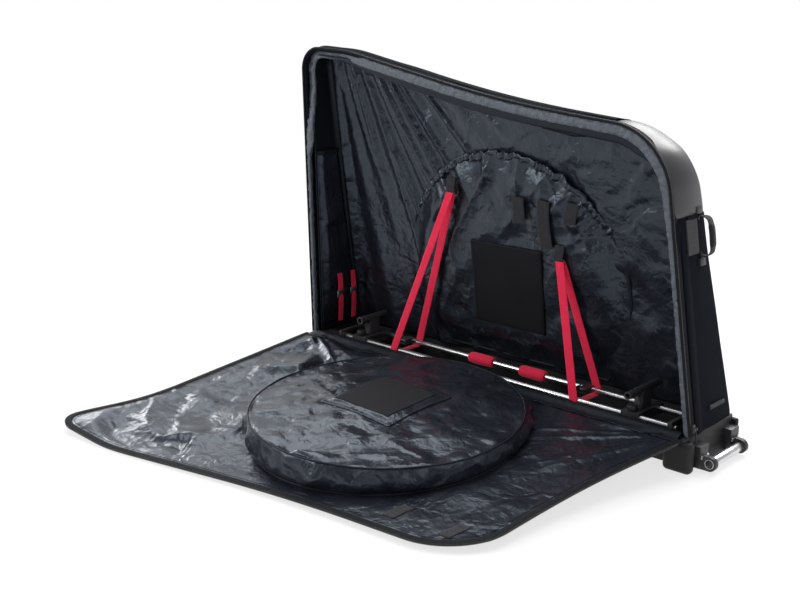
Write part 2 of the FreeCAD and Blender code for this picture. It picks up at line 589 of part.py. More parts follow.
tow_tube = rod("tow_outer", (TOW_ALONG, "-tow_length / 2", "tow_height"), "tow_radius", "tow_length",
               ALONG_Y)
tow_core = rod("tow_core", (TOW_ALONG, "-tow_length / 2", "tow_height"), "tow_bore", "tow_length",
               ALONG_Y)
node(cut("tow_pipe", tow_tube, tow_core), "tow_bar_tube")
plugs, brackets = [], []
for label, side in (("front", "-"), ("rear", "")):
    start = "-tow_length / 2" if side else "tow_length / 2 - plug_length"
    plugs.append(rod(f"plug_{label}", (TOW_ALONG, start, "tow_height"), "tow_bore", "plug_length", ALONG_Y))
    middle = f"{side}({TOW_SIDE})"
    arm = box(f"tow_arm_{label}", ("base_right", f"{middle} - tow_bracket_thick / 2",
                                   "tow_height - tow_bracket_tall / 2"),
              f"{TOW_ALONG} - base_right", "tow_bracket_thick", "tow_bracket_tall")
    nose = rod(f"tow_nose_{label}", (TOW_ALONG, f"{middle} - tow_bracket_thick / 2", "tow_height"),
               "tow_bracket_tall / 2", "tow_bracket_thick", ALONG_Y)
    flange = box(f"tow_flange_{label}", ("base_right", f"{middle} - tow_flange_width / 2",
                                         "skid_height"),
                 f"{TOW_FLANGE_FACE} - base_right", "tow_flange_width", "tow_flange_tall")
    seat = rod(f"tow_seat_{label}", (TOW_ALONG, "-tow_length", "tow_height"),
               "tow_radius + running_gap", "2 * tow_length", ALONG_Y)
    block = fuse(f"tow_block_{label}", arm, nose, flange)
    brackets.append(cut(f"tow_bracket_{label}", block, tub_block, seat, *screw_holes[:4]))
node(group("plug_pair", *plugs), "tow_bar_plugs")
node(group("bracket_pair", *brackets), "tow_bar_brackets")

# Stand: two rails in two end brackets on the tub's floor

for label, across in (("front", f"-{RAIL_FRONT}"), ("rear", RAIL_REAR)):
    rail = rod(f"rail_{label}", (f"-{STAND_LEFT} - stand_plate / 2 - rail_end", across, "rail_height"),
               "rail_radius", f"{STAND_LEFT} + stand_right + stand_plate + 2 * rail_end", ALONG_X)
    node(rail, f"stand_rail_{label}")


def rail_bores(name, gap):
    """Room for both rails and a clearance round them."""
    bores = []
    for label, across in (("front", f"-{RAIL_FRONT}"), ("rear", RAIL_REAR)):
        bores.append(rod(f"{name}_bore_{label}", (f"-{FAR}", across, "rail_height"),
                         f"rail_radius + {gap}", f"2 * {FAR}", ALONG_X))
    return bores


STAND_WIDTH = f"({RAIL_FRONT} + {RAIL_REAR} + 2 * stand_margin)"
for label, end in (("left", f"-{STAND_LEFT}"), ("right", "stand_right")):
    plate = box(f"stand_plate_{label}", (f"{end} - stand_plate / 2", f"-{RAIL_FRONT} - stand_margin",
                                         STAND_FLOOR),
                "stand_plate", STAND_WIDTH, f"rail_height + stand_margin - {STAND_FLOOR}")
    foot_start = f"{end} + stand_plate / 2" if label == "left" else f"{end} - stand_plate / 2 - stand_foot"
    foot = box(f"stand_foot_{label}", (foot_start, f"-{RAIL_FRONT} - stand_margin", STAND_FLOOR),
               "stand_foot", STAND_WIDTH, "stand_foot_thick")
    window = rod(f"stand_window_{label}", (f"-{FAR}", STAND_MIDDLE, "rail_height - stand_window / 2"),
                 "stand_window", f"2 * {FAR}", ALONG_X)
    bracket = fuse(f"stand_block_{label}", plate, foot)
    node(cut(f"stand_end_{label}", bracket, window, *rail_bores(f"stand_{label}", "running_gap"),
             *screw_holes[4:]), f"stand_bracket_{label}")

# Carriages that slide on the rails, each with a clamp knob

CARRIAGE_TOP = "(rail_height + carriage_half)"
AXLE_HEIGHT = f"({CARRIAGE_TOP} + axle_rise)"
POST_WIDTH = f"({RAIL_FRONT} + {RAIL_REAR} - 2 * (knob_radius + knob_room))"
FORK_ALONG = f"(fork_setback - {STAND_LEFT})"
REAR_ALONG = "(stand_right - rear_setback)"
for label, along, bore, width in (("fork", FORK_ALONG, "fork_bore", "fork_width"),
                                  ("rear", REAR_ALONG, "rear_bore", "rear_width")):
    block = box(f"{label}_block", (f"{along} - carriage_length / 2", f"-{RAIL_FRONT} - carriage_margin",
                                   "rail_height - carriage_half"), "carriage_length",
                f"{RAIL_FRONT} + {RAIL_REAR} + 2 * carriage_margin", "2 * carriage_half")
    post = box(f"{label}_post", (f"{along} - post_thick / 2", f"{STAND_MIDDLE} - {POST_WIDTH} / 2",
                                 CARRIAGE_TOP), "post_thick", POST_WIDTH, "axle_rise")
    tube = rod(f"{label}_tube", (along, f"{STAND_MIDDLE} - {width} / 2", AXLE_HEIGHT),
               f"{bore} + axle_wall", width, ALONG_Y)
    hole = rod(f"{label}_hole", (along, f"{STAND_MIDDLE} - {width}", AXLE_HEIGHT), bore,
               f"2 * {width}", ALONG_Y)
    stem_hole = rod(f"{label}_stem_hole", (along, f"-{RAIL_FRONT}", "rail_height"),
                    "stem_radius + running_gap", FAR)
    carriage = cut(f"{label}_slide", fuse(f"{label}_body", block, post, tube), hole, stem_hole,
                   *rail_bores(label, "running_gap"))
    node(carriage, f"{label}_carriage")
    knob = turned(f"{label}_handwheel", [
        ("0", "rail_height + rail_radius + knob_rest_gap"),
        ("stem_radius", "rail_height + rail_radius + knob_rest_gap"),
        ("stem_radius", f"{CARRIAGE_TOP} + knob_rest_gap"),
        ("knob_radius", f"{CARRIAGE_TOP} + knob_rest_gap"),
        ("knob_radius", f"{CARRIAGE_TOP} + knob_tall"), ("0", f"{CARRIAGE_TOP} + knob_tall")])
    node(locate(knob, (along, f"-{RAIL_FRONT}", "0")), f"{label}_clamp_knob")

# Frame straps buckled round both rails, with cam buckles on top


def stadium(name, along, width, radius):
    """A round-ended bar across both rails."""
    start = f"{along} - {width} / 2"
    ends = [rod(f"{name}_{key}", (start, across, "rail_height"), radius, width, ALONG_X)
            for key, across in (("front", f"-{RAIL_FRONT}"), ("rear", RAIL_REAR))]
    bar = box(f"{name}_bar", (start, f"-{RAIL_FRONT}", f"rail_height - {radius}"), width,
              f"{RAIL_FRONT} + {RAIL_REAR}", f"2 * {radius}")
    return fuse(name, bar, *ends)


STRAP_IN = "(rail_radius + strap_gap)"
STRAP_TOP = f"(rail_height + {STRAP_IN} + strap_thick)"
for label, along in (("left", "-left_strap_along"), ("right", "right_strap_along")):
    outer = stadium(f"strap_outer_{label}", along, "strap_width", f"({STRAP_IN} + strap_thick)")
    inner = stadium(f"strap_inner_{label}", along, "2 * strap_width", STRAP_IN)
    node(cut(f"strap_{label}", outer, inner), f"frame_strap_{label}")
    base = box(f"buckle_plate_{label}", (f"{along} - buckle_width / 2",
                                         f"{STAND_MIDDLE} - buckle_length / 2", STRAP_TOP),
               "buckle_width", "buckle_length", "buckle_base")
    cheeks = []
    for key, start in (("near", f"{along} - buckle_width / 2"),
                       ("far", f"{along} + buckle_width / 2 - buckle_side")):
        corner = (start, f"{STAND_MIDDLE} - buckle_length / 2", STRAP_TOP)
        cheeks.append(box(f"buckle_{key}_{label}", corner, "buckle_side", "buckle_length / 2",
                          "buckle_tall"))
    PIN_HEIGHT = f"({STRAP_TOP} + buckle_base + lever_eye + lever_side_gap)"
    PIN_ACROSS = f"({STAND_MIDDLE} - buckle_length / 4)"
    pin = rod(f"buckle_pin_{label}", (f"{along} - buckle_width / 2", PIN_ACROSS, PIN_HEIGHT),
              "buckle_pin", "buckle_width", ALONG_X)
    node(fuse(f"buckle_{label}", base, pin, *cheeks), f"cam_buckle_{label}")
    LEVER_START = f"{along} - buckle_width / 2 + buckle_side + lever_side_gap"
    LEVER_WIDTH = "(buckle_width - 2 * buckle_side - 2 * lever_side_gap)"
    eye = rod(f"lever_eye_{label}", (LEVER_START, PIN_ACROSS, PIN_HEIGHT), "lever_eye", LEVER_WIDTH,
              ALONG_X)
    blade_foot = f"{PIN_HEIGHT} + lever_eye - lever_thick"
    blade = box(f"lever_blade_{label}", (LEVER_START, PIN_ACROSS, blade_foot), LEVER_WIDTH,
                "lever_length", "lever_thick")
    eye_bore = rod(f"lever_bore_{label}", (f"-{FAR}", PIN_ACROSS, PIN_HEIGHT), "buckle_pin + running_gap",
                   f"2 * {FAR}", ALONG_X)
    node(cut(f"lever_{label}", fuse(f"lever_body_{label}", eye, blade), eye_bore), f"cam_lever_{label}")

fork_straps, ladders = [], []
for label, across in (("front", "-fork_strap_spacing / 2"), ("rear", "fork_strap_spacing / 2")):
    fork_straps.append(box(f"fork_strap_{label}", (SIDE_FACE, f"{across} - fork_strap_width / 2",
                                                   "fork_strap_top - fork_strap_long"),
                           "strap_thick", "fork_strap_width", "fork_strap_long"))
    ladders.append(box(f"ladder_{label}", (f"{SIDE_FACE} + strap_thick", f"{across} - ladder_width / 2",
                                           "fork_strap_top - fork_strap_long / 2"),
                       "ladder_thick", "ladder_width", "ladder_tall"))
node(group("fork_strap_pair", *fork_straps), "fork_straps")
node(group("ladder_pair", *ladders), "fork_strap_buckles")

sleeves = []
for label, along in (("left", "-sleeve_left - sleeve_length"), ("right", "sleeve_right - sleeve_length")):
    pad = rod(f"sleeve_pad_{label}", (along, RAIL_REAR, "rail_height"), "sleeve_radius", "sleeve_length",
              ALONG_X)
    hollow = rod(f"sleeve_hollow_{label}", (f"-{FAR}", RAIL_REAR, "rail_height"),
                 "rail_radius + strap_gap", f"2 * {FAR}", ALONG_X)
    sleeves.append(cut(f"sleeve_{label}", pad, hollow))
node(group("sleeve_pair", *sleeves), "tube_sleeves")

# Pieces on the outer faces of the end walls, built upright and then set on the leaning wall


def on_wall(item, end, height, setback=0.0):
    """Set a piece on an end wall: its X points outward and its Z up along the wall."""
    rise = height - rim
    if end == "right":
        base = FreeCAD.Vector(size("base_right") - right_lean * rise, setback, height)
        turn = FreeCAD.Rotation(FreeCAD.Vector(0, 1, 0), -math.degrees(math.atan(right_lean)))
    else:
        base = FreeCAD.Vector(-size("base_left") - left_lean * rise, setback, height)
        lean = FreeCAD.Rotation(FreeCAD.Vector(0, 1, 0), -math.degrees(math.atan(left_lean)))
        turn = lean.multiply(FreeCAD.Rotation(FreeCAD.Vector(0, 0, 1), 180))
    item.Placement = FreeCAD.Placement(base, turn)
    return item


handle_height = size("tall_height") - size("handle_drop")
anchors = []
for end in ("left", "right"):
    blocks = []
    for key, low in (("lower", "-handle_span - handle_block / 2"),
                     ("upper", "handle_span - handle_block / 2")):
        blocks.append(box(f"anchor_{key}_{end}", ("0", "-handle_block_deep / 2", low),
                          "handle_block_thick", "handle_block_deep", "handle_block"))
    EYE_END = "(handle_span - handle_block / 2 - handle_eye_gap)"
    EYE_START = f"({EYE_END} - handle_eye_long)"
    for key, low in (("lower", f"-{EYE_END} - handle_eye_gap"), ("upper", EYE_START)):
        blocks.append(rod(f"anchor_pin_{key}_{end}", ("handle_axis", "0", low), "handle_pin",
                          "handle_eye_long + handle_eye_gap"))
    lower = fuse(f"anchor_low_{end}", blocks[0], blocks[2])
    upper = fuse(f"anchor_high_{end}", blocks[1], blocks[3])
    anchors.append(on_wall(group(f"anchor_{end}", lower, upper), end, handle_height))
    pieces = []
    for key, low in (("lower", f"-{EYE_END}"), ("upper", EYE_START)):
        pieces.append(rod(f"handle_eye_{key}_{end}", ("handle_axis", "0", low), "handle_eye",
                          "handle_eye_long"))
        pieces.append(box(f"handle_arm_{key}_{end}", ("handle_axis", "-handle_arm / 2", low),
                          "handle_reach", "handle_arm", "handle_eye_long"))
    pieces.append(rod(f"handle_grip_{end}", ("handle_axis + handle_reach", "0", f"-{EYE_END}"),
                      "handle_grip", f"2 * {EYE_END}"))
    bore = rod(f"handle_bore_{end}", ("handle_axis", "0", f"-{FAR}"), "handle_pin + running_gap",
               f"2 * {FAR}")
    handle = cut(f"handle_{end}", fuse(f"handle_body_{end}", *pieces), bore)
    node(on_wall(handle, end, handle_height), f"grab_handle_{end}")
node(group("anchor_pairs", *anchors), "handle_anchors")

SLIDER_FOOT = "(seam_gap + tape_thick + slider_rise)"
SLIDER_FACE = f"({SLIDER_FOOT} + slider_thick)"
for end in ("left", "right"):
    slab = box(f"slider_slab_{end}", (SLIDER_FOOT, "-slider_width / 2", "-slider_length / 2"),
               "slider_thick", "slider_width", "slider_length")
    lugs = []
    for key, start in (("near", "-slider_width / 2"), ("far", "slider_width / 2 - lug_thick")):
        lugs.append(box(f"lug_{key}_{end}", (SLIDER_FACE, start, "-lug_length / 2"), "lug_tall",
                        "lug_thick", "lug_length"))
    pin = rod(f"pull_pin_{end}", (f"{SLIDER_FACE} + lug_tall / 2", "-slider_width / 2", "0"), "pull_pin",
              "slider_width", ALONG_Y)
    slider = fuse(f"slider_{end}", slab, pin, *lugs)
    spot = front + size("slider_setback")
    node(on_wall(slider, end, size("slider_height"), spot), f"zip_slider_{end}")
    PULL_WIDTH = "(slider_width - 2 * lug_thick - 2 * pull_gap)"
    tab = box(f"pull_tab_{end}", (f"{SLIDER_FACE} + lug_tall / 2 - pull_thick / 2", f"-{PULL_WIDTH} / 2",
                                  "-pull_length"), "pull_thick", PULL_WIDTH, "pull_length")
    eye = rod(f"pull_eye_{end}", (f"{SLIDER_FACE} + lug_tall / 2", f"-{PULL_WIDTH} / 2", "0"),
              "lug_tall / 2 - pull_gap", PULL_WIDTH, ALONG_Y)
    hole = rod(f"pull_hole_{end}", (f"{SLIDER_FACE} + lug_tall / 2", "-slider_width", "0"),
               "pull_pin + running_gap", "2 * slider_width", ALONG_Y)
    pull = cut(f"pull_{end}", fuse(f"pull_body_{end}", tab, eye), hole)
    node(on_wall(pull, end, size("slider_height"), spot), f"zip_pull_{end}")

# Check every object, then write each sub-part

doc.recompute()
faults = [item.Name for item in doc.Objects if {"Invalid", "Error"} & set(item.State)]
for item in nodes:
    if item.Shape.isNull() or not item.Shape.isValid() or not item.Shape.Solids:
        faults.append(item.Label)
if faults:
    raise RuntimeError("failed objects: " + ", ".join(faults))
os.makedirs("parts", exist_ok=True)
for item in nodes:
    item.Shape.exportStep(f"parts/{item.Label}.step")
print(len(nodes), "sub-parts written, flap open angle", round(open_angle, 3))
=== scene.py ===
"""Looks of a bike travel case that stands open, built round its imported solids. All sizes are metres."""

import json
import logging
import math
from dataclasses import dataclass, field
from enum import Enum
from typing import Callable, Iterable, Optional, Sequence

import bpy
import numpy as np
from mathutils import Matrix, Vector


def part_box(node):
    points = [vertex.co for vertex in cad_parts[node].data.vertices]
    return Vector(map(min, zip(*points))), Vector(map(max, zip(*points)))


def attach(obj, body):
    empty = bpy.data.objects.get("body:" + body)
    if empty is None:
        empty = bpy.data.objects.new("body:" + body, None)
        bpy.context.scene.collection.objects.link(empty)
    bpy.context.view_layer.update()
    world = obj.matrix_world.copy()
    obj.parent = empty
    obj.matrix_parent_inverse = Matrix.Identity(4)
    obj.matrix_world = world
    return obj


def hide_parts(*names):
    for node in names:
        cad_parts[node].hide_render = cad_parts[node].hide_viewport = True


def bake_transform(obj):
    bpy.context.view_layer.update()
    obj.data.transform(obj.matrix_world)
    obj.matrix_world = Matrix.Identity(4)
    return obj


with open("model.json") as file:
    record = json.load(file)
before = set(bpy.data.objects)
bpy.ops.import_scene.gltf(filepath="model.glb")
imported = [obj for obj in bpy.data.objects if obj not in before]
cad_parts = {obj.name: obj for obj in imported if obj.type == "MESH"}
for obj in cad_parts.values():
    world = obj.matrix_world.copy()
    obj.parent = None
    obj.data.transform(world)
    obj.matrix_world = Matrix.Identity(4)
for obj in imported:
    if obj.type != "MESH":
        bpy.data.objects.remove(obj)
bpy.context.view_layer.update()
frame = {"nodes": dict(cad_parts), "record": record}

LOG = logging.getLogger("travel_case")
SLOT_OF_NODE = {row["node"]: row["material_slot"] for row in frame["record"]["subparts"]}
BODY_OF_NODE = {
    node: body for body, nodes in frame["record"]["behaviour"]["bodies"].items() for node in nodes}
WELD = 1e-5
Colour = tuple[float, float, float]

# Shared sizes: the case's outline and depth, its wall, the zip's teeth and the usual step along the outline
RIM = 0.088
TOP = 0.937
LEFT_FOOT = -0.637
LEFT_TOP = -0.660
DEPTH = 0.216
TOP_DEPTH = 0.106
WALL = 0.0145
STEP = 0.008
TOOTH_PITCH = 0.0042
TOOTH_SIZE = (0.0024, 0.0058, 0.0022)
TOOTH_ROUND = 0.0005


# Repeatable relief fields


def chance(column: np.ndarray, row: np.ndarray, seed: float) -> np.ndarray:
    """Give each pair of whole numbers its own repeatable number from 0 to 1.

    Args:
        column: whole numbers along the first direction.
        row: whole numbers along the second direction.
        seed: picks one of many such fields.

    Returns:
        The numbers, shaped like column.
    """
    mixed = np.sin(column * 12.9898 + row * 78.233 + seed * 37.719) * 43758.5453
    return mixed - np.floor(mixed)


def swell(across: np.ndarray, along: np.ndarray, cell: float, seed: float) -> np.ndarray:
    """Make smooth hills and hollows.

    Args:
        across: places along the first direction, in metres.
        along: places along the second direction, in metres.
        cell: distance from one hill to the next.
        seed: picks one of many such fields.

    Returns:
        Heights from -1 to 1.
    """
    across, along = across / cell, along / cell
    column, row = np.floor(across), np.floor(along)
    right, up = across - column, along - row
    right = right * right * (3 - 2 * right)
    up = up * up * (3 - 2 * up)
    low = chance(column, row, seed) * (1 - right) + chance(column + 1, row, seed) * right
    high = chance(column, row + 1, seed) * (1 - right) + chance(column + 1, row + 1, seed) * right
    return 2 * (low * (1 - up) + high * up) - 1


def facets(across: np.ndarray, along: np.ndarray, cell: float, seed: float,
           crisp: float = 7.0) -> np.ndarray:
    """Make the flat facets and creases of crumpled coated cloth.

    Args:
        across: places along the first direction, in metres.
        along: places along the second direction, in metres.
        cell: usual width of a facet.
        seed: picks one of many such fields.
        crisp: how sharp the creases between facets are.

    Returns:
        Heights of about -1 to 1.
    """
    across, along = np.broadcast_arrays(across / cell, along / cell)
    column, row = np.floor(across), np.floor(along)
    total, weight = np.zeros(across.shape), np.zeros(across.shape)
    for step_across in (-1, 0, 1):
        for step_along in (-1, 0, 1):
            i, j = column + step_across, row + step_along
            right = across - i - chance(i, j, seed)
            up = along - j - chance(i, j, seed + 1)
            lean = (2 * chance(i, j, seed + 2) - 1) * right + (2 * chance(i, j, seed + 3) - 1) * up
            share = np.exp(-crisp * (right * right + up * up))
            total += share * (1.3 * lean + 0.5 * chance(i, j, seed + 4) - 0.25)
            weight += share
    return total / weight


def folds(across: np.ndarray, along: np.ndarray, pitch: float, length: float, turn: float,
          seed: float) -> np.ndarray:
    """Make long soft folds that run in one direction.

    Args:
        across: places along the first direction, in metres.
        along: places along the second direction, in metres.
        pitch: distance from one fold to the next.
        length: usual length of a fold.
        turn: angle of the folds from the second direction, in degrees.
        seed: picks one of many such fields.

    Returns:
        Heights from -1 to 1.
    """
    angle = math.radians(turn)
    side = across * math.cos(angle) + along * math.sin(angle)
    run = along * math.cos(angle) - across * math.sin(angle)
    ridge = swell(side, run * pitch / length, pitch, seed)
    return 1 - 2 * np.abs(ridge) ** 0.7


def ease(value: np.ndarray, low: float, high: float) -> np.ndarray:
    """Rise smoothly from 0 at low to 1 at high."""
    share = np.clip((value - low) / (high - low), 0, 1)
    return share * share * (3 - 2 * share)


# Paths and sections


def xyz(x: np.ndarray, y: np.ndarray, z: np.ndarray) -> np.ndarray:
    """Join coordinates into points."""
    return np.stack(np.broadcast_arrays(x, y, z), axis=-1)


def run_along(path: np.ndarray) -> np.ndarray:
    """Distance of each point of a path from its start."""
    return np.concatenate([[0], np.cumsum(np.linalg.norm(np.diff(path, axis=0), axis=1))])


def sample(places: np.ndarray, distance: np.ndarray, values: np.ndarray) -> np.ndarray:
    """Read a path's values at places along it."""
    return np.stack([np.interp(places, distance, column) for column in values.T], axis=-1)


def unit(vectors: np.ndarray) -> np.ndarray:
    """Give each vector a length of one."""
    return vectors / np.linalg.norm(vectors, axis=1, keepdims=True)


def square_to(vectors: np.ndarray, ways: np.ndarray) -> np.ndarray:
    """Turn vectors square to unit directions, with a length of one."""
    return unit(vectors - ways * np.einsum("ij,ij->i", vectors, ways)[:, None])


def oval(width: float, thick: float, count: int = 14, power: float = 2.0) -> np.ndarray:
    """Draw a rounded section: a power of 2 is an ellipse, and a higher one is squarer.

    Args:
        width: whole width, along the sweep's side direction.
        thick: whole thickness, along the sweep's normal.
        count: points round the section.
        power: how square it is.

    Returns:
        Pairs of side and normal offsets, closed with its first point repeated.
    """
    angle = np.linspace(0, 2 * np.pi, count + 1)
    side = np.sign(np.cos(angle)) * np.abs(np.cos(angle)) ** (2 / power)
    normal = np.sign(np.sin(angle)) * np.abs(np.sin(angle)) ** (2 / power)
    return np.stack([side * width / 2, normal * thick / 2], axis=-1)


def smooth_path(points: Sequence[Sequence[float]], count: int) -> np.ndarray:
    """Run a smooth curve through a few points.

    Args:
        points: the points, three numbers each.
        count: points wanted on the curve.

    Returns:
        The curve's points, evenly shared between the given ones.
    """
    knots = np.array(points, float)
    padded = np.vstack([2 * knots[0] - knots[1], knots, 2 * knots[-1] - knots[-2]])
    places = np.linspace(0, len(knots) - 1, count)
    first = np.minimum(places.astype(int), len(knots) - 2)
    share = (places - first)[:, None]
    p0, p1, p2, p3 = (padded[first + i] for i in range(4))
    return 0.5 * (2 * p1 + (p2 - p0) * share + (2 * p0 - 5 * p1 + 4 * p2 - p3) * share ** 2
                  + (3 * p1 - p0 - 3 * p2 + p3) * share ** 3)


def sweep(path: np.ndarray, side: Sequence[float], section: np.ndarray, loop: bool = False) -> np.ndarray:
    """Carry a section along a path.

    Args:
        path: the path's points.
        side: the direction that the section's first offsets follow all along.
        section: the section's offsets, one set for the whole path or one for each point.
        loop: whether the path closes on itself.

    Returns:
        Points of the swept surface, one row for each point of the path.
    """
    if loop:
        tangent = np.roll(path, -1, axis=0) - np.roll(path, 1, axis=0)
    else:
        tangent = np.gradient(path, axis=0)
    tangent = unit(tangent)
    side = square_to(np.broadcast_to(np.array(side, float), path.shape), tangent)
    normal = np.cross(side, tangent)
    section = np.broadcast_to(section, (len(path),) + section.shape[-2:])
    points = (path[:, None, :] + section[..., 0:1] * side[:, None, :]
              + section[..., 1:2] * normal[:, None, :])
    return np.concatenate([points, points[:1]]) if loop else points


@dataclass(frozen=True)
class Outline:
    """The case's front outline in the X-Z plane, from its left foot over the top to its right foot."""

    corners: tuple = ((LEFT_FOOT, RIM), (LEFT_TOP, TOP), (-0.490, TOP), (0.060, 0.835),
                      (0.536, 0.797), (0.649, RIM))
    radii: tuple = (0.060, 0.500, 3.900, 0.175)
    arc_steps: int = 30

    def trace(self) -> tuple[np.ndarray, np.ndarray, list[float]]:
        """Work out the outline as short steps.

        Returns:
            Points, the distance of each along the outline, and the distances of the arcs' ends.
        """
        corners = [np.array(corner) for corner in self.corners]
        points, ends = [corners[0]], []
        for before, corner, after, radius in zip(corners, corners[1:], corners[2:], self.radii):
            enter_way = (corner - before) / np.linalg.norm(corner - before)
            leave_way = (after - corner) / np.linalg.norm(after - corner)
            bend = enter_way[0] * leave_way[1] - enter_way[1] * leave_way[0]
            turn = math.asin(bend)
            enter = corner - enter_way * radius * math.tan(abs(turn) / 2)
            inward = np.array([-enter_way[1], enter_way[0]]) * math.copysign(1, bend)
            centre = enter + inward * radius
            ends.append(len(points))
            for step in range(self.arc_steps + 1):
                angle = turn * step / self.arc_steps
                spoke = -inward * radius
                points.append(centre + np.array([
                    spoke[0] * math.cos(angle) - spoke[1] * math.sin(angle),
                    spoke[0] * math.sin(angle) + spoke[1] * math.cos(angle)]))
            ends.append(len(points) - 1)
        points.append(corners[-1])
        points = np.array(points)
        distance = run_along(points)
        return points, distance, [distance[i] for i in ends]

    @property
    def length(self) -> float:
        """The whole length of the outline."""
        return float(self.trace()[1][-1])

    def at(self, places: np.ndarray, inset: float | np.ndarray = 0.0) -> tuple[np.ndarray, np.ndarray]:
        """Find places on the outline.

        Args:
            places: distances along the outline.
            inset: how far inside the outline the places lie.

        Returns:
            X-Z points and outward X-Z directions.
        """
        points, distance, _ = self.trace()
        dense = np.linspace(0, distance[-1], 2400)
        run = sample(dense, distance, points)
        way = unit(np.gradient(run, axis=0))
        spot = sample(places, dense, run)
        outward = sample(places, dense, way)[..., ::-1] * np.array((-1, 1))
        inset = np.asarray(inset)[..., None] if np.ndim(inset) else inset
        return spot - outward * inset, outward

    def crossing(self, height: float, right: bool) -> float:
        """Find how far along the outline an end wall reaches a height.

        Args:
            height: the height.
            right: whether it is the right end wall.

        Returns:
            The distance along the outline.
        """
        points, distance, _ = self.trace()
        half = len(points) // 2
        if right:
            return float(np.interp(height, points[half:, 1][::-1], distance[half:][::-1]))
        return float(np.interp(height, points[:self.arc_steps, 1], distance[:self.arc_steps]))

    def gap(self, x: np.ndarray, z: np.ndarray) -> np.ndarray:
        """Measure how far places in the X-Z plane are from the outline.

        Args:
            x: X of the places.
            z: Z of the places.

        Returns:
            The distances, at most one metre.
        """
        spots, _ = self.at(np.linspace(0, self.length, 260))
        nearest = np.full(np.shape(x), 1.0)
        for spot in spots:
            nearest = np.minimum(nearest, np.hypot(x - spot[0], z - spot[1]))
        return nearest

    def band(self, start: float, stop: float, step: float, section: np.ndarray) -> np.ndarray:
        """Carry a section of inset and depth pairs along the outline.

        Args:
            start: distance along the outline where the band starts.
            stop: distance where it ends.
            step: length of the band's steps.
            section: pairs of inset and Y, one set or one for each step.

        Returns:
            Points of the band, one row for each step.
        """
        places = self.steps(start, stop, step)
        spot, outward = self.at(places)
        section = np.broadcast_to(section, (len(places),) + section.shape[-2:])
        flat = spot[:, None, :] - outward[:, None, :] * section[..., 0:1]
        return xyz(flat[..., 0], section[..., 1], flat[..., 1])

    def steps(self, start: float, stop: float, step: float) -> np.ndarray:
        """Share a stretch of the outline into even steps."""
        return np.linspace(start, stop, max(3, int((stop - start) / step) + 1))

    def fill(self, inset: Callable[[np.ndarray], np.ndarray], foot: float, columns: int,
             rows: int) -> np.ndarray:
        """Fill the outline with a net of points.

        Args:
            inset: gives how far inside the outline the net ends at places along it.
            foot: height of the net's lowest row.
            columns: points along the case.
            rows: points up the case.

        Returns:
            X-Z points, one row of them for each column.
        """
        ends = self.trace()[2]
        over = np.linspace(ends[0], ends[-1], columns)
        top, _ = self.at(over, inset(over))
        feet = np.array([0.0, ends[0], ends[-1], self.length])
        sides, _ = self.at(feet, inset(feet))
        low = []
        for first, second in ((sides[0], sides[1]), (sides[3], sides[2])):
            share = (foot - first[1]) / (second[1] - first[1])
            low.append(first + (second - first) * share)
        base = low[0] + (low[1] - low[0]) * np.linspace(0, 1, columns)[:, None]
        up = np.linspace(0, 1, rows)[None, :, None]
        return base[:, None, :] * (1 - up) + top[:, None, :] * up


@dataclass(frozen=True)
class Fold:
    """The fold that the flap turns on. Places on the flap are given by along, reach and rise."""

    across: float = -0.117
    height: float = RIM
    slope: float = math.asin((RIM - 0.0005 - 0.003) / (TOP - RIM + 0.006))

    def place(self, along: np.ndarray, reach: np.ndarray, rise: np.ndarray) -> np.ndarray:
        """Turn places on the open flap into points of the frame.

        Args:
            along: X.
            reach: distance from the fold.
            rise: height over the flap's plane.

        Returns:
            The points.
        """
        back, up = math.cos(self.slope), math.sin(self.slope)
        y = self.across - reach * back - rise * up
        z = self.height - reach * up + rise * back
        return xyz(along, y, z)

    def floor(self, reach: np.ndarray, clear: float) -> np.ndarray:
        """Give the rise at which a place is a small distance over the floor."""
        return (clear - self.height + reach * math.sin(self.slope)) / math.cos(self.slope)


@dataclass(frozen=True)
class BackLean:
    """The back's forward lean. Pieces that are drawn upright against the back swing forward with it."""

    level: float = DEPTH / 2
    foot: float = RIM
    slope: float = (DEPTH - TOP_DEPTH) / (TOP - RIM)

    def forward(self, height: np.ndarray) -> np.ndarray:
        """How far the back has come forward at a height."""
        return self.slope * (height - self.foot)

    def swing(self, points: np.ndarray) -> np.ndarray:
        """Swing upright points forward about the back's foot.

        Args:
            points: the points, three numbers each.

        Returns:
            The points in their leaning place.
        """
        points = np.asarray(points, float)
        turn = math.atan(self.slope)
        y, z = points[..., 1] - self.level, points[..., 2] - self.foot
        return xyz(points[..., 0], self.level + y * math.cos(turn) - z * math.sin(turn),
                   self.foot + y * math.sin(turn) + z * math.cos(turn))


OUTLINE = Outline()
FOLD = Fold()
LEAN = BackLean()


# Materials


class Pattern(Enum):
    """The relief that a finish shows."""

    CRUMPLE = "crumple"
    WEAVE = "weave"
    WEBBING = "webbing"
    GRAIN = "grain"
    BRUSHED = "brushed"


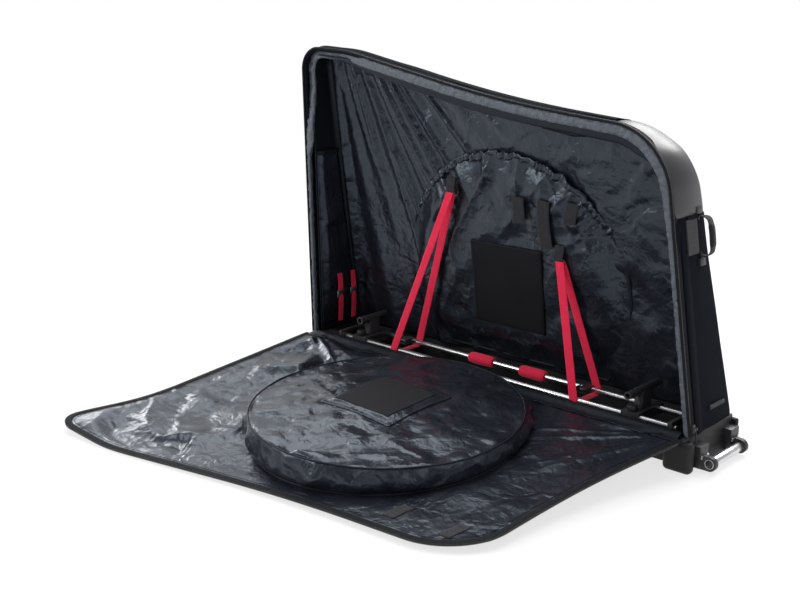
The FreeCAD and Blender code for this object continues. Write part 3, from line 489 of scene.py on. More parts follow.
class Board:
    """A node tree that is being wired."""

    def __init__(self, tree: bpy.types.NodeTree) -> None:
        """Keep the tree."""
        self.tree = tree

    def add(self, kind: str, inputs: Optional[dict] = None, **settings: object) -> bpy.types.Node:
        """Add a node.

        Args:
            kind: the node's type name without its ShaderNode prefix.
            inputs: values or sockets for its inputs, by name or number.
            settings: its own properties.

        Returns:
            The node.
        """
        made = self.tree.nodes.new(kind if kind.startswith("Node") else "ShaderNode" + kind)
        for name, value in settings.items():
            setattr(made, name, value)
        for key, value in (inputs or {}).items():
            if isinstance(value, bpy.types.NodeSocket):
                self.tree.links.new(value, made.inputs[key])
            else:
                made.inputs[key].default_value = value
        return made

    def math(self, operation: str, first: object, second: object = 0.0) -> bpy.types.NodeSocket:
        """Add one sum and give its result."""
        return self.add("Math", {0: first, 1: second}, operation=operation).outputs[0]

    def vector(self, operation: str, first: object, second: object) -> bpy.types.Node:
        """Add one vector sum."""
        return self.add("VectorMath", {0: first, 1: second}, operation=operation)


class PatternGroups:
    """The relief groups that the finishes share. Each gives a Height in metres and a Tone from 0 to 1."""

    def __init__(self) -> None:
        """Start with none built."""
        self.built: dict[Pattern, bpy.types.NodeTree] = {}

    def get(self, pattern: Pattern) -> bpy.types.NodeTree:
        """Build a group the first time that it is asked for.

        Args:
            pattern: the relief that is wanted.

        Returns:
            Its node group.
        """
        if pattern not in self.built:
            tree = bpy.data.node_groups.new(pattern.value + "_relief", "ShaderNodeTree")
            face = tree.interface
            face.new_socket("Vector", in_out="INPUT", socket_type="NodeSocketVector")
            for way, names in (("INPUT", ("Pitch", "Depth")), ("OUTPUT", ("Height", "Tone"))):
                for name in names:
                    face.new_socket(name, in_out=way, socket_type="NodeSocketFloat")
            board = Board(tree)
            start = board.add("NodeGroupInput")
            height, tone = getattr(self, pattern.value)(board, start)
            scaled = board.math("MULTIPLY", height, start.outputs["Depth"])
            board.add("NodeGroupOutput", {"Height": scaled, "Tone": tone})
            self.built[pattern] = tree
        return self.built[pattern]

    @staticmethod
    def noise(board: Board, vector: object, scale: object, detail: float = 3.0) -> bpy.types.NodeSocket:
        """Add a noise field and give its value."""
        made = board.add("TexNoise", {"Vector": vector, "Scale": scale, "Detail": detail})
        return made.outputs["Fac"]

    def crumple(self, board: Board, start: bpy.types.Node) -> tuple:
        """Wire soft crumple facets of three sizes, with faint creases between them.

        Args:
            board: the group's tree.
            start: its inputs.

        Returns:
            Sockets of the height and the tone.
        """
        vector = start.outputs["Vector"]
        scale = board.math("DIVIDE", 1.0, start.outputs["Pitch"])
        drift = board.add("TexNoise", {"Vector": vector, "Scale": board.math("MULTIPLY", scale, 0.6)})
        bent = board.vector("ADD", vector, board.vector(
            "MULTIPLY", drift.outputs["Color"], (0.05, 0.05, 0.05)).outputs[0]).outputs[0]
        crease = board.math("SUBTRACT", self.noise(board, bent, board.math("MULTIPLY", scale, 1.6)), 0.5)
        total = board.math("MULTIPLY", board.math("ABSOLUTE", crease), -0.55)
        for size, share, smooth in ((1.0, 0.9, 0.8), (2.7, 0.24, 0.7), (6.0, 0.06, 0.6)):
            finer = board.math("MULTIPLY", scale, size)
            cells = board.add("TexVoronoi", {"Vector": bent, "Scale": finer, "Smoothness": smooth},
                              feature="SMOOTH_F1")
            lean = board.vector("SUBTRACT", cells.outputs["Color"], (0.5, 0.5, 0.5)).outputs[0]
            offset = board.vector("SUBTRACT", bent, cells.outputs["Position"]).outputs[0]
            rise = board.math("MULTIPLY", board.vector("DOT_PRODUCT", lean, offset).outputs["Value"], finer)
            total = board.math("ADD", total, board.math("MULTIPLY", rise, share))
        return total, self.noise(board, vector, board.math("MULTIPLY", scale, 0.8), 4.0)

    def weave(self, board: Board, start: bpy.types.Node) -> tuple:
        """Wire a plain weave of thick yarn along the piece's own two directions.

        Args:
            board: the group's tree.
            start: its inputs.

        Returns:
            Sockets of the height and the tone.
        """
        axes = board.add("SeparateXYZ", {0: start.outputs["Vector"]})
        turns = board.math("DIVIDE", 2 * math.pi, start.outputs["Pitch"])
        waves = [board.math("SINE", board.math("MULTIPLY", axes.outputs[k], turns)) for k in (0, 1)]
        yarn = board.math("MULTIPLY", waves[0], waves[1])
        slub = self.noise(board, start.outputs["Vector"], 260.0, 2.0)
        height = board.math("ADD", yarn, board.math("MULTIPLY", slub, 1.5))
        mottle = self.noise(board, start.outputs["Vector"], 9.0, 5.0)
        tone = board.math("ADD", board.math("MULTIPLY", mottle, 0.7), board.math("MULTIPLY", slub, 0.3))
        return height, tone

    def webbing(self, board: Board, start: bpy.types.Node) -> tuple:
        """Wire the zigzag ribs of flat webbing along the piece's first direction.

        Args:
            board: the group's tree.
            start: its inputs.

        Returns:
            Sockets of the height and the tone.
        """
        axes = board.add("SeparateXYZ", {0: start.outputs["Vector"]})
        turns = board.math("DIVIDE", 2 * math.pi, start.outputs["Pitch"])
        slant = board.math("PINGPONG", axes.outputs[1], 0.006)
        run = board.math("ADD", axes.outputs[0], slant)
        ribs = board.math("SINE", board.math("MULTIPLY", run, turns))
        fuzz = self.noise(board, start.outputs["Vector"], 700.0, 2.0)
        height = board.math("ADD", ribs, fuzz)
        mottle = self.noise(board, start.outputs["Vector"], 22.0, 3.0)
        # The ribs also shift the tone, paler on their crests and darker between them: painted shade of the
        # ribs, mixed with the mottle.
        shade = board.math("MULTIPLY_ADD", ribs, 0.18)
        tone = board.math("ADD", shade, mottle)
        return height, tone

    def grain(self, board: Board, start: bpy.types.Node) -> tuple:
        """Wire the fine pebble grain of a moulded piece.

        Args:
            board: the group's tree.
            start: its inputs.

        Returns:
            Sockets of the height and the tone.
        """
        scale = board.math("DIVIDE", 1.0, start.outputs["Pitch"])
        cells = board.add("TexVoronoi", {"Vector": start.outputs["Vector"], "Scale": scale})
        speck = self.noise(board, start.outputs["Vector"], board.math("MULTIPLY", scale, 2.5), 2.0)
        height = board.math("ADD", cells.outputs["Distance"], board.math("MULTIPLY", speck, 0.4))
        return height, self.noise(board, start.outputs["Vector"], 14.0, 5.0)

    def brushed(self, board: Board, start: bpy.types.Node) -> tuple:
        """Wire the fine drawn lines of a bare metal piece.

        Args:
            board: the group's tree.
            start: its inputs.

        Returns:
            Sockets of the height and the tone.
        """
        long = board.add("Mapping", {"Vector": start.outputs["Vector"], "Scale": (3.0, 60.0, 60.0)})
        scale = board.math("DIVIDE", 0.02, start.outputs["Pitch"])
        lines = self.noise(board, long.outputs[0], scale, 3.0)
        return lines, self.noise(board, start.outputs["Vector"], 30.0, 4.0)


GROUPS = PatternGroups()
COOL = (0.70, 0.83, 1.0)


@dataclass(frozen=True)
class Finish:
    """One surface finish: two tones that its pattern mixes, its gloss and its relief."""

    name: str
    dark: Colour
    light: Colour
    rough: tuple[float, float]
    pattern: Pattern
    pitch: float
    depth: float
    metal: float = 0.0
    gloss: float = 0.5
    sheen: float = 0.0
    on_uv: bool = False
    worn: float = 0.0
    tint: Colour = (1.0, 1.0, 1.0)

    def material(self) -> bpy.types.Material:
        """Make the material, or give it again once it is made.

        Returns:
            A material whose colour, roughness and bump follow the finish's pattern.
        """
        known = bpy.data.materials.get(self.name)
        if known is not None:
            return known
        made = bpy.data.materials.new(self.name)
        made.use_nodes = True
        board = Board(made.node_tree)
        shader = made.node_tree.nodes["Principled BSDF"]
        places = board.add("TexCoord")
        vector = places.outputs["UV" if self.on_uv else "Object"]
        relief = board.add("Group", node_tree=GROUPS.get(self.pattern))
        relief.inputs["Pitch"].default_value = self.pitch
        relief.inputs["Depth"].default_value = self.depth
        made.node_tree.links.new(vector, relief.inputs["Vector"])
        tone = relief.outputs["Tone"]
        colour = board.add("Mix", {0: tone, 6: (*self.dark, 1.0), 7: (*self.light, 1.0)},
                           data_type="RGBA").outputs[2]
        if self.worn:
            edges = board.add("NewGeometry").outputs["Pointiness"]
            scuff = board.add("MapRange", {"Value": edges, "From Min": 0.51, "From Max": 0.60,
                                           "To Max": self.worn}).outputs[0]
            pale = tuple(min(1.0, 2.4 * part + 0.03) for part in self.light)
            colour = board.add("Mix", {0: scuff, 6: colour, 7: (*pale, 1.0)}, data_type="RGBA").outputs[2]
        rough = board.add("MapRange", {"Value": tone, "From Min": 0.25, "From Max": 0.75,
                                       "To Min": self.rough[0], "To Max": self.rough[1]}).outputs[0]
        bump = board.add("Bump", {"Height": relief.outputs["Height"], "Strength": 1.0, "Distance": 1.0})
        for key, socket in (("Base Color", colour), ("Roughness", rough), ("Normal", bump.outputs[0])):
            made.node_tree.links.new(socket, shader.inputs[key])
        for key, value in (("Metallic", self.metal), ("Specular IOR Level", self.gloss),
                           ("Specular Tint", (*self.tint, 1.0)), ("Sheen Weight", self.sheen),
                           ("Sheen Roughness", 0.4)):
            shader.inputs[key].default_value = value
        return made


LINING = Finish("coated_lining", (0.006, 0.0072, 0.0105), (0.015, 0.0175, 0.025), (0.25, 0.38),
                Pattern.CRUMPLE, 0.06, 0.0070, gloss=0.6, tint=COOL)
SMOOTH_LINING = Finish("taut_lining", (0.004, 0.0047, 0.0065), (0.009, 0.0105, 0.014), (0.42, 0.56),
                       Pattern.CRUMPLE, 0.11, 0.0025, gloss=0.3, tint=COOL)
# The lip's cloth is the coated lining painted several times paler: a painted highlight for the front light
# that the lip faces.
LIP_PAINTED_LIGHT = Finish("lip_cloth_painted_light", (0.055, 0.060, 0.072), (0.115, 0.122, 0.142), (0.38, 0.54), Pattern.CRUMPLE,
             0.018, 0.0040, gloss=0.6, tint=COOL)
CLOTH = Finish("woven_shell", (0.0042, 0.0051, 0.0082), (0.0092, 0.0108, 0.0165), (0.70, 0.86),
               Pattern.WEAVE, 0.0022, 0.00012, gloss=0.03, sheen=0.015, on_uv=True)
PATCH = Finish("patch_cloth", (0.006, 0.0065, 0.0085), (0.013, 0.014, 0.0175), (0.55, 0.7),
               Pattern.WEAVE, 0.0030, 0.00012, gloss=0.12, sheen=0.03, on_uv=True)
SHOULDER = Finish("satin_shoulder", (0.014, 0.015, 0.018), (0.024, 0.025, 0.029), (0.34, 0.42),
                  Pattern.GRAIN, 0.0016, 0.00003, gloss=0.8)
TUB = Finish("grained_tub", (0.006, 0.006, 0.007), (0.013, 0.013, 0.015), (0.42, 0.6), Pattern.GRAIN,
             0.0022, 0.00007, gloss=0.3, worn=0.35)
HARD = Finish("moulded_plastic", (0.010, 0.010, 0.011), (0.020, 0.020, 0.022), (0.34, 0.5), Pattern.GRAIN,
              0.0012, 0.00003, worn=0.25)
RED_WEB = Finish("red_webbing", (0.62, 0.004, 0.034), (0.92, 0.016, 0.078), (0.55, 0.75), Pattern.WEBBING,
                 0.0016, 0.00012, gloss=0.35, sheen=0.25, on_uv=True)
BLACK_WEB = Finish("black_webbing", (0.008, 0.008, 0.010), (0.022, 0.022, 0.026), (0.6, 0.8),
                   Pattern.WEBBING, 0.0018, 0.00016, gloss=0.35, sheen=0.15, on_uv=True)
TAPE = Finish("woven_tape", (0.005, 0.005, 0.007), (0.013, 0.014, 0.016), (0.6, 0.75), Pattern.WEBBING,
              0.0012, 0.00008, gloss=0.12, on_uv=True)
RUBBER = Finish("wheel_rubber", (0.012, 0.012, 0.012), (0.026, 0.026, 0.027), (0.7, 0.88), Pattern.GRAIN,
                0.0016, 0.00006, gloss=0.35)
RAIL = Finish("bright_rail", (0.60, 0.61, 0.63), (0.78, 0.79, 0.81), (0.22, 0.36), Pattern.BRUSHED, 0.0014,
              0.00001, metal=1.0)
DARK_METAL = Finish("black_metal", (0.020, 0.020, 0.022), (0.045, 0.045, 0.05), (0.32, 0.48), Pattern.GRAIN,
                    0.0010, 0.00002, metal=0.4, worn=0.4)
STEEL = Finish("bare_steel", (0.42, 0.42, 0.43), (0.62, 0.62, 0.63), (0.25, 0.42), Pattern.BRUSHED, 0.0012,
               0.00001, metal=1.0)
ROD = Finish("rod_plastic", (0.22, 0.23, 0.24), (0.34, 0.35, 0.36), (0.3, 0.42), Pattern.GRAIN, 0.003,
             0.00003)
FINISH_OF_SLOT = {
    "outer_cloth": CLOTH, "lining": LINING, "shoulder": SHOULDER, "tub_plastic": TUB, "hard_plastic": HARD,
    "webbing_red": RED_WEB, "webbing_black": BLACK_WEB, "zip_tape": TAPE, "tyre_rubber": RUBBER,
    "rail_metal": RAIL, "dark_metal": DARK_METAL, "steel": STEEL, "pvc_rod": ROD}


# Modelling


def pick(piece: bpy.types.Object) -> None:
    """Select one object alone and make it active."""
    bpy.ops.object.select_all(action="DESELECT")
    piece.select_set(True)
    bpy.context.view_layer.objects.active = piece


def apply_modifier(piece: bpy.types.Object, kind: str, **settings: object) -> None:
    """Add a modifier and apply it at once.

    Args:
        piece: the piece that it changes.
        kind: the modifier's type.
        settings: its properties.
    """
    pick(piece)
    added = piece.modifiers.new(kind.title(), kind)
    for name, value in settings.items():
        setattr(added, name, value)
    bpy.ops.object.modifier_apply(modifier=added.name)


def in_edit(piece: bpy.types.Object, *steps: tuple) -> None:
    """Run mesh operators on all of a piece in edit mode.

    Args:
        piece: the piece.
        steps: pairs of a mesh operator's name and its settings.
    """
    pick(piece)
    bpy.ops.object.mode_set(mode="EDIT")
    bpy.ops.mesh.select_all(action="SELECT")
    for name, settings in steps:
        getattr(bpy.ops.mesh, name)(**settings)
    bpy.ops.object.mode_set(mode="OBJECT")


def primitive(add: Callable, name: str, **settings: object) -> bpy.types.Object:
    """Add one mesh primitive and name it.

    Args:
        add: the operator that adds it.
        name: the new object's name.
        settings: the operator's settings.

    Returns:
        The object.
    """
    bpy.ops.object.select_all(action="DESELECT")
    add(**settings)
    piece = bpy.context.object
    piece.name = piece.data.name = name
    return piece


def surface(name: str, points: np.ndarray) -> bpy.types.Object:
    """Lay a grid primitive over a net of points.

    Args:
        name: the piece's name.
        points: the net, columns by rows by three.

    Returns:
        The piece, with a UV map in metres.
    """
    columns, rows = points.shape[:2]
    piece = primitive(bpy.ops.mesh.primitive_grid_add, name, x_subdivisions=columns - 1,
                      y_subdivisions=rows - 1, size=1)
    mesh = piece.data
    flat = np.zeros(len(mesh.vertices) * 3)
    mesh.vertices.foreach_get("co", flat)
    flat = flat.reshape(-1, 3)
    column = np.rint((flat[:, 0] + 0.5) * (columns - 1)).astype(int)
    row = np.rint((flat[:, 1] + 0.5) * (rows - 1)).astype(int)
    mesh.vertices.foreach_set("co", points[column, row].ravel())
    run = np.linalg.norm(np.diff(points, axis=0), axis=2).mean(axis=1)
    rise = np.linalg.norm(np.diff(points, axis=1), axis=2).mean(axis=0)
    along = np.concatenate([[0], np.cumsum(run)])
    up = np.concatenate([[0], np.cumsum(rise)])
    corner = np.zeros(len(mesh.loops), int)
    mesh.loops.foreach_get("vertex_index", corner)
    layer = mesh.uv_layers.active or mesh.uv_layers.new(name="UVMap")
    layer.data.foreach_set("uv", np.stack([along[column[corner]], up[row[corner]]], axis=-1).ravel())
    mesh.update()
    return piece


def dress(piece: bpy.types.Object, body: Optional[str], slot: str, *nodes: str) -> None:
    """Tie a finished piece to its body and hide the solids that it stands for.

    Args:
        piece: the piece.
        body: the body that it rides on, or None where it is blended.
        slot: the record's material slot; not used.
        nodes: the solids that it replaces.
    """
    if body is not None:
        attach(piece, body)
    if nodes:
        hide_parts(*nodes)
    LOG.info("%s: %d faces on %s", piece.name, len(piece.data.polygons), body)


def cloth(name: str, points: np.ndarray, thick: float, facing: Sequence[float], front: Finish, back: Finish,
          about: Optional[Sequence[float]] = None) -> bpy.types.Object:
    """Make a closed sheet of cloth from a net of points on its front face.

    Args:
        name: the piece's name.
        points: the net.
        thick: the cloth's thickness, which goes behind the front face.
        facing: the direction that the front faces, or its sign towards a middle point.
        front: finish of the front face.
        back: finish of the back and the edges.
        about: a middle point that the front faces away from; then facing's first number is 1 or -1.

    Returns:
        The piece.
    """
    piece = surface(name, points)
    normals = np.zeros(len(piece.data.polygons) * 3)
    centres = np.zeros(len(piece.data.polygons) * 3)
    piece.data.polygons.foreach_get("normal", normals)
    piece.data.polygons.foreach_get("center", centres)
    normals, centres = normals.reshape(-1, 3), centres.reshape(-1, 3)
    if about is None:
        agree = normals @ np.array(facing, float)
    else:
        agree = facing[0] * np.einsum("ij,ij->i", normals, centres - np.array(about))
    if agree.sum() < 0:
        in_edit(piece, ("flip_normals", {}))
    piece.data.materials.append(front.material())
    piece.data.materials.append(back.material())
    apply_modifier(piece, "SOLIDIFY", thickness=thick, offset=-1.0, use_even_offset=False,
                   material_offset=1, material_offset_rim=1)
    piece.data.shade_smooth()
    return piece


def tube(name: str, points: np.ndarray, finish: Finish, loop: bool = False) -> bpy.types.Object:
    """Make a closed swept piece from a net whose rows run round its section.

    Args:
        name: the piece's name.
        points: the net, with the section's first point repeated at its end.
        finish: the piece's finish.
        loop: whether the sweep closes on itself, so that it has no ends.

    Returns:
        The piece.
    """
    piece = surface(name, points)
    steps = [("remove_doubles", {"threshold": WELD})]
    if not loop:
        steps.append(("fill_holes", {"sides": 0}))
    steps.append(("normals_make_consistent", {"inside": False}))
    in_edit(piece, *steps)
    piece.data.materials.append(finish.material())
    pick(piece)
    bpy.ops.object.shade_smooth_by_angle(angle=math.radians(50))
    return piece


def from_node(node: str, bevel: float) -> None:
    """Round the edges of a copy of a solid, which then stands for it.

    Args:
        node: the solid's name.
        bevel: width of the rounded edges.
    """
    slot = SLOT_OF_NODE[node]
    piece = bpy.data.objects.new(node + "_look", frame["nodes"][node].data.copy())
    bpy.context.collection.objects.link(piece)
    in_edit(piece, ("remove_doubles", {"threshold": WELD}),
            ("dissolve_limited", {"angle_limit": math.radians(1.0)}))
    apply_modifier(piece, "BEVEL", width=bevel, segments=2, limit_method="ANGLE",
                   angle_limit=math.radians(32), use_clamp_overlap=True)
    piece.data.materials.clear()
    piece.data.materials.append(FINISH_OF_SLOT[slot].material())
    pick(piece)
    bpy.ops.object.shade_smooth_by_angle(angle=math.radians(38))
    dress(piece, BODY_OF_NODE[node], slot, node)


def copies(name: str, model: bpy.types.Object, spots: np.ndarray, turns: np.ndarray,
           finish: Finish) -> bpy.types.Object:
    """Set many copies of one small model along a line, as one mesh.

    Args:
        name: the new piece's name.
        model: the model, which is deleted.
        spots: where the copies go.
        turns: a turning matrix for each.
        finish: their finish.

    Returns:
        The piece.
    """
    corners = np.array([vertex.co for vertex in model.data.vertices])
    faces = [tuple(face.vertices) for face in model.data.polygons]
    placed = np.einsum("nij,kj->nki", turns, corners) + spots[:, None, :]
    count = len(corners)
    every = [tuple(i + n * count for i in face) for n in range(len(spots)) for face in faces]
    mesh = bpy.data.meshes.new(name)
    mesh.from_pydata(placed.reshape(-1, 3).tolist(), [], every)
    mesh.materials.append(finish.material())
    mesh.uv_layers.new(name="UVMap")
    mesh.shade_smooth()
    piece = bpy.data.objects.new(name, mesh)
    bpy.context.collection.objects.link(piece)
    bpy.data.objects.remove(model)
    return piece


def small_block(size: Sequence[float], bevel: float) -> bpy.types.Object:
    """Model one small block with rounded edges, to be copied along a line.

    Args:
        size: the block's three sides.
        bevel: width of its rounded edges.

    Returns:
        The block.
    """
    piece = primitive(bpy.ops.mesh.primitive_cube_add, "block", size=1)
    piece.scale = size
    bpy.ops.object.transform_apply(location=False, rotation=False, scale=True)
    in_edit(piece, ("bevel", {"offset": bevel, "segments": 1, "affect": "EDGES"}))
    return piece


def row_of(name: str, path: np.ndarray, up: np.ndarray, pitch: float, size: Sequence[float], bevel: float,
           finish: Finish) -> bpy.types.Object:
    """Set small blocks at a steady pitch along a path, such as zip teeth or stitches.

    Args:
        name: the piece's name.
        path: the path's points.
        up: the direction of each block's height, one for each point or one for all.
        pitch: distance from one block to the next.
        size: a block's length along the path, width and height.
        bevel: its rounded edges.
        finish: its finish.

    Returns:
        The piece.
    """
    distance = run_along(path)
    places = np.arange(pitch / 2, distance[-1], pitch)
    up = np.broadcast_to(np.array(up, float), path.shape)
    spots = sample(places, distance, path)
    ways = unit(sample(places, distance, np.gradient(path, distance, axis=0)))
    tops = square_to(sample(places, distance, up), ways)
    turns = np.stack([ways, np.cross(tops, ways), tops], axis=-1)
    return copies(name, small_block(size, bevel), spots, turns, finish)


# The case's cloth shell


@dataclass
class CaseShell:
    """Outer walls, back, lining, lip and zip of the standing case."""

    half_depth: float = DEPTH / 2
    back_round: tuple = (0.030, 0.044, 0.050, 0.030, 0.014)
    bulge: float = 0.005
    shoulder_bulge: float = 0.007
    skin: float = 0.008
    left_seam: float = 0.780
    right_seam: float = 0.596
    top_seam: float = 0.390
    lining_thick: float = 0.0015
    middle: tuple = (0.0, 0.0, 0.45)
    tuck: tuple = (0.003, 0.006)
    puff: float = 0.0022
    lip_front: float = -0.1125
    lip_step: float = 0.004

    def seam_places(self) -> list[float]:
        """Find the feet and the three seams between the walls.

        Returns:
            Their distances along the outline, from left to right.
        """
        points, distance, _ = OUTLINE.trace()
        top = float(np.interp(self.top_seam, points[:, 0], distance))
        return [0.0, OUTLINE.crossing(self.left_seam, False), top, OUTLINE.crossing(self.right_seam, True),
                OUTLINE.length]

    def edge_round(self, places: np.ndarray) -> np.ndarray:
        """Find how round the soft back edge is: wide along the roof and small down the right end.

        Args:
            places: distances along the outline.

        Returns:
            The radii.
        """
        ends = OUTLINE.trace()[2]
        knots = (0.0, ends[1], ends[-2], (ends[-2] + ends[-1]) / 2, ends[-1])
        return np.interp(places, knots, self.back_round)

    def profile(self, places: np.ndarray, rows: int = 34) -> np.ndarray:
        """Outer wall from its front edge to the start of the back panel.

        Args:
            places: distances along the outline.
            rows: points in each section.

        Returns:
            Inset and Y pairs, one row of them for each place.
        """
        share = np.linspace(0, 1, rows)
        angle = np.clip((share - 0.72) / 0.28, 0, 1) * math.pi / 2
        _, _, top_seam, right_seam, _ = self.seam_places()
        stiff = ease(places, top_seam + 0.10, right_seam - 0.15)
        stiff = stiff * (1 - ease(places, right_seam - 0.05, right_seam + 0.12))
        stiff, radius = stiff[:, None], self.edge_round(places)[:, None]
        inset = radius * (1 - np.cos(angle)) - self.bulge * np.sin(np.pi * np.minimum(share / 0.8, 1))
        inset = inset - self.shoulder_bulge * stiff * np.sin(np.pi * share) ** 0.6
        spot, outward = OUTLINE.at(places)
        height = spot[:, 1:] - outward[:, 1:] * inset
        bend = self.half_depth - radius - LEAN.forward(height)
        y = -self.half_depth + (bend + self.half_depth) * np.minimum(share / 0.72, 1)
        y = y + radius * np.sin(angle)
        return np.stack([inset, y], axis=-1)

    def build_walls(self) -> None:
        """Make the four outer walls, puffed a little between their seams."""
        stops = self.seam_places()
        walls = (("left_wall", "left_end_wall", CLOTH, "outer_cloth"),
                 ("roof", "top_wall", CLOTH, "outer_cloth"),
                 ("shoulder", "shoulder_panel", SHOULDER, "shoulder"),
                 ("right_wall", "right_end_wall", CLOTH, "outer_cloth"))
        for (name, node, finish, slot), start, stop in zip(walls, stops, stops[1:]):
            places = OUTLINE.steps(start, stop, STEP)
            rows = self.profile(places)
            tuck = np.exp(-np.minimum(places - start, stop - places) / self.tuck[1]) * self.tuck[0]
            soft = 0.0 if finish is SHOULDER else self.puff
            rows[..., 0] += tuck[:, None] + swell(places[:, None], rows[..., 1], 0.11, 3.0) * soft
            points = OUTLINE.band(start, stop, STEP, rows)
            piece = cloth(name, points, self.skin, (1,), finish, CLOTH, about=self.middle)
            dress(piece, "case", slot, node)

    def build_back(self) -> None:
        """Make the back panel, with a low round swelling over the wheel pocket, and its kick panel."""
        net = OUTLINE.fill(lambda places: self.edge_round(places) + 0.002, RIM, 150, 96)
        x, z = net[..., 0], net[..., 1]
        round_swell = 0.010 * ease(0.40 - np.hypot(x, z - 0.36), 0.0, 0.14)
        wave = 0.003 * swell(x, z, 0.16, 11.0) + 0.0015 * folds(x, z, 0.07, 0.4, 20, 5.0)
        level = self.half_depth + round_swell - LEAN.forward(z)
        back = cloth("back_cloth", xyz(x, level + 0.001 + wave, z), self.skin, (0, 1, 0), CLOTH, CLOTH)
        dress(back, "case", "outer_cloth", "back_panel")
        over = level + 0.0030 + 0.35 * wave + 0.65 * np.maximum(wave, 0)
        panel = cloth("back_kick_panel", xyz(x, over, z)[:, :26], 0.003, (0, 1, 0), PATCH, PATCH)
        dress(panel, "case", "outer_cloth")

    @staticmethod
    def cord_along(name: str, inset: np.ndarray, y: np.ndarray, finish: Finish, slot: str) -> None:
        """Run a piping cord along the whole outline.

        Args:
            name: the piece's name.
            inset: how far inside the outline it lies at each step.
            y: its Y at each step.
            finish: its finish.
            slot: the record's material slot.
        """
        ring = oval(0.0068, 0.0068, 8)
        section = np.stack([inset[:, None] + ring[:, 0], y[:, None] + ring[:, 1]], axis=-1)
        points = OUTLINE.band(0, OUTLINE.length, STEP, section)
        dress(tube(name, points, finish), "case", slot)

    def build_piping(self) -> None:
        """Run the piping of the back edge and the rim, and a ridge over each seam between the walls."""
        places = OUTLINE.steps(0, OUTLINE.length, STEP)
        inset = self.edge_round(places) - 0.001
        spot, _ = OUTLINE.at(places, inset)
        self.cord_along("back_piping", inset, self.half_depth - 0.001 - LEAN.forward(spot[:, 1]), CLOTH,
                        "outer_cloth")
        self.cord_along("rim_piping", 0 * places - 0.0025, 0 * places - self.half_depth - 0.001, TAPE,
                        "zip_tape")
        for number, place in enumerate(self.seam_places()[1:4]):
            section = self.profile(np.array([place]), 40)
            ridge = OUTLINE.band(place - 0.001, place + 0.001, 0.001, section)[1]
            ridge = ridge[(ridge[:, 1] > -0.058)]
            points = sweep(ridge, self.seam_side(place), oval(0.010, 0.0026, 10))
            dress(tube(f"wall_seam_{number + 1}", points, CLOTH), "case", "outer_cloth")

    @staticmethod
    def seam_side(place: float) -> tuple[float, float, float]:
        """The direction along the outline at a seam."""
        _, outward = OUTLINE.at(np.array([place]))
        return (float(outward[0, 1]), 0.0, float(-outward[0, 0]))

    def build_lining(self) -> None:
        """Line the walls and the back with slack coated cloth, with a rod's channel at the left."""
        places = OUTLINE.steps(0.0, OUTLINE.length, 0.007)
        spot, _ = OUTLINE.at(places)
        front, deep = -0.092, 0.186
        turn = np.linspace(0.1, 1.5, 14)
        y = np.concatenate([np.linspace(front, 0.039, 20), 0.039 + 0.055 * np.sin(turn)])
        y = front + (y - front) * (1 - LEAN.forward(spot[:, 1:]) / deep)
        corner = np.concatenate([np.zeros(20), 0.055 * (1 - np.cos(turn))])
        crease = facets(places[:, None], y, 0.09, 21.0, 4.0) * 0.003
        crease += folds(places[:, None], y, 0.06, 0.20, 8, 23.0) * 0.002
        taut = 1 - 0.9 * (1 - ease(places, 0.95, 1.1))
        inset = WALL + 0.003 + corner[None, :] + crease * taut[:, None]
        points = OUTLINE.band(0.0, OUTLINE.length, 0.007, np.stack([inset, y], axis=-1))
        piece = cloth("wall_lining", points, self.lining_thick, (-1,), SMOOTH_LINING, LINING,
                      about=self.middle)
        OUTLINE.length
        dress(piece, "case", "lining")
        net = OUTLINE.fill(lambda places: 0 * places + WALL + 0.012, RIM - 0.004, 230, 150)
        x, z = net[..., 0], net[..., 1]
        spread = np.arctan2(x + 0.66, 1.25 - z)
        reach = np.hypot(x + 0.66, 1.25 - z)
        fan = folds(spread, reach, 0.055, 1.6, 0, 31.0) * 0.017 * (1 - ease(x, -0.25, 0.10))
        slack = folds(x, z, 0.12, 0.45, -38, 33.0) * 0.007 * ease(x, -0.20, 0.40)
        creases = facets(x, z, 0.11, 35.0, 4.0) * (0.003 + 0.007 * ease(x, -0.1, 0.35))
        creases += facets(x, z, 0.05, 37.0, 5.0) * (0.001 + 0.003 * ease(x, -0.1, 0.35))
        pinned = ease(OUTLINE.gap(x, z), 0.02, 0.09)
        channel = 0.015 * np.exp(-((x + 0.613) / 0.016) ** 2)
        rise = 0.008 + channel + (0.7 * (fan + slack) + creases) * pinned
        points = xyz(x, 0.094 - LEAN.forward(z) - np.clip(rise, 0.0, 0.03), z)
        piece = cloth("back_lining", points, self.lining_thick, (0, -1, 0), LINING, LINING)
        dress(piece, "case", "lining")

    def build_rod_sleeve(self) -> None:
        """Sew a cloth sleeve over the stiffener rod that stands clear of the lining at the right."""
        share = np.linspace(0, 1, 90)[:, None]
        path = np.array((0.5962, 0.0741, 0.1111)) * (1 - share) + np.array((0.5341, 0.0241, 0.4969)) * share
        girth = 1 + 0.05 * swell(share[:, 0], share[:, 0] * 0, 0.06, 45.0)
        girth *= 1 - 0.5 * np.maximum(0, (np.abs(2 * share[:, 0] - 1) - 0.985) / 0.015)
        ring = oval(0.0235, 0.0235, 16)[None] * girth[:, None, None]
        piece = tube("rod_sleeve", sweep(path, (0, 1, 0), ring), SMOOTH_LINING)
        dress(piece, "case", "lining")

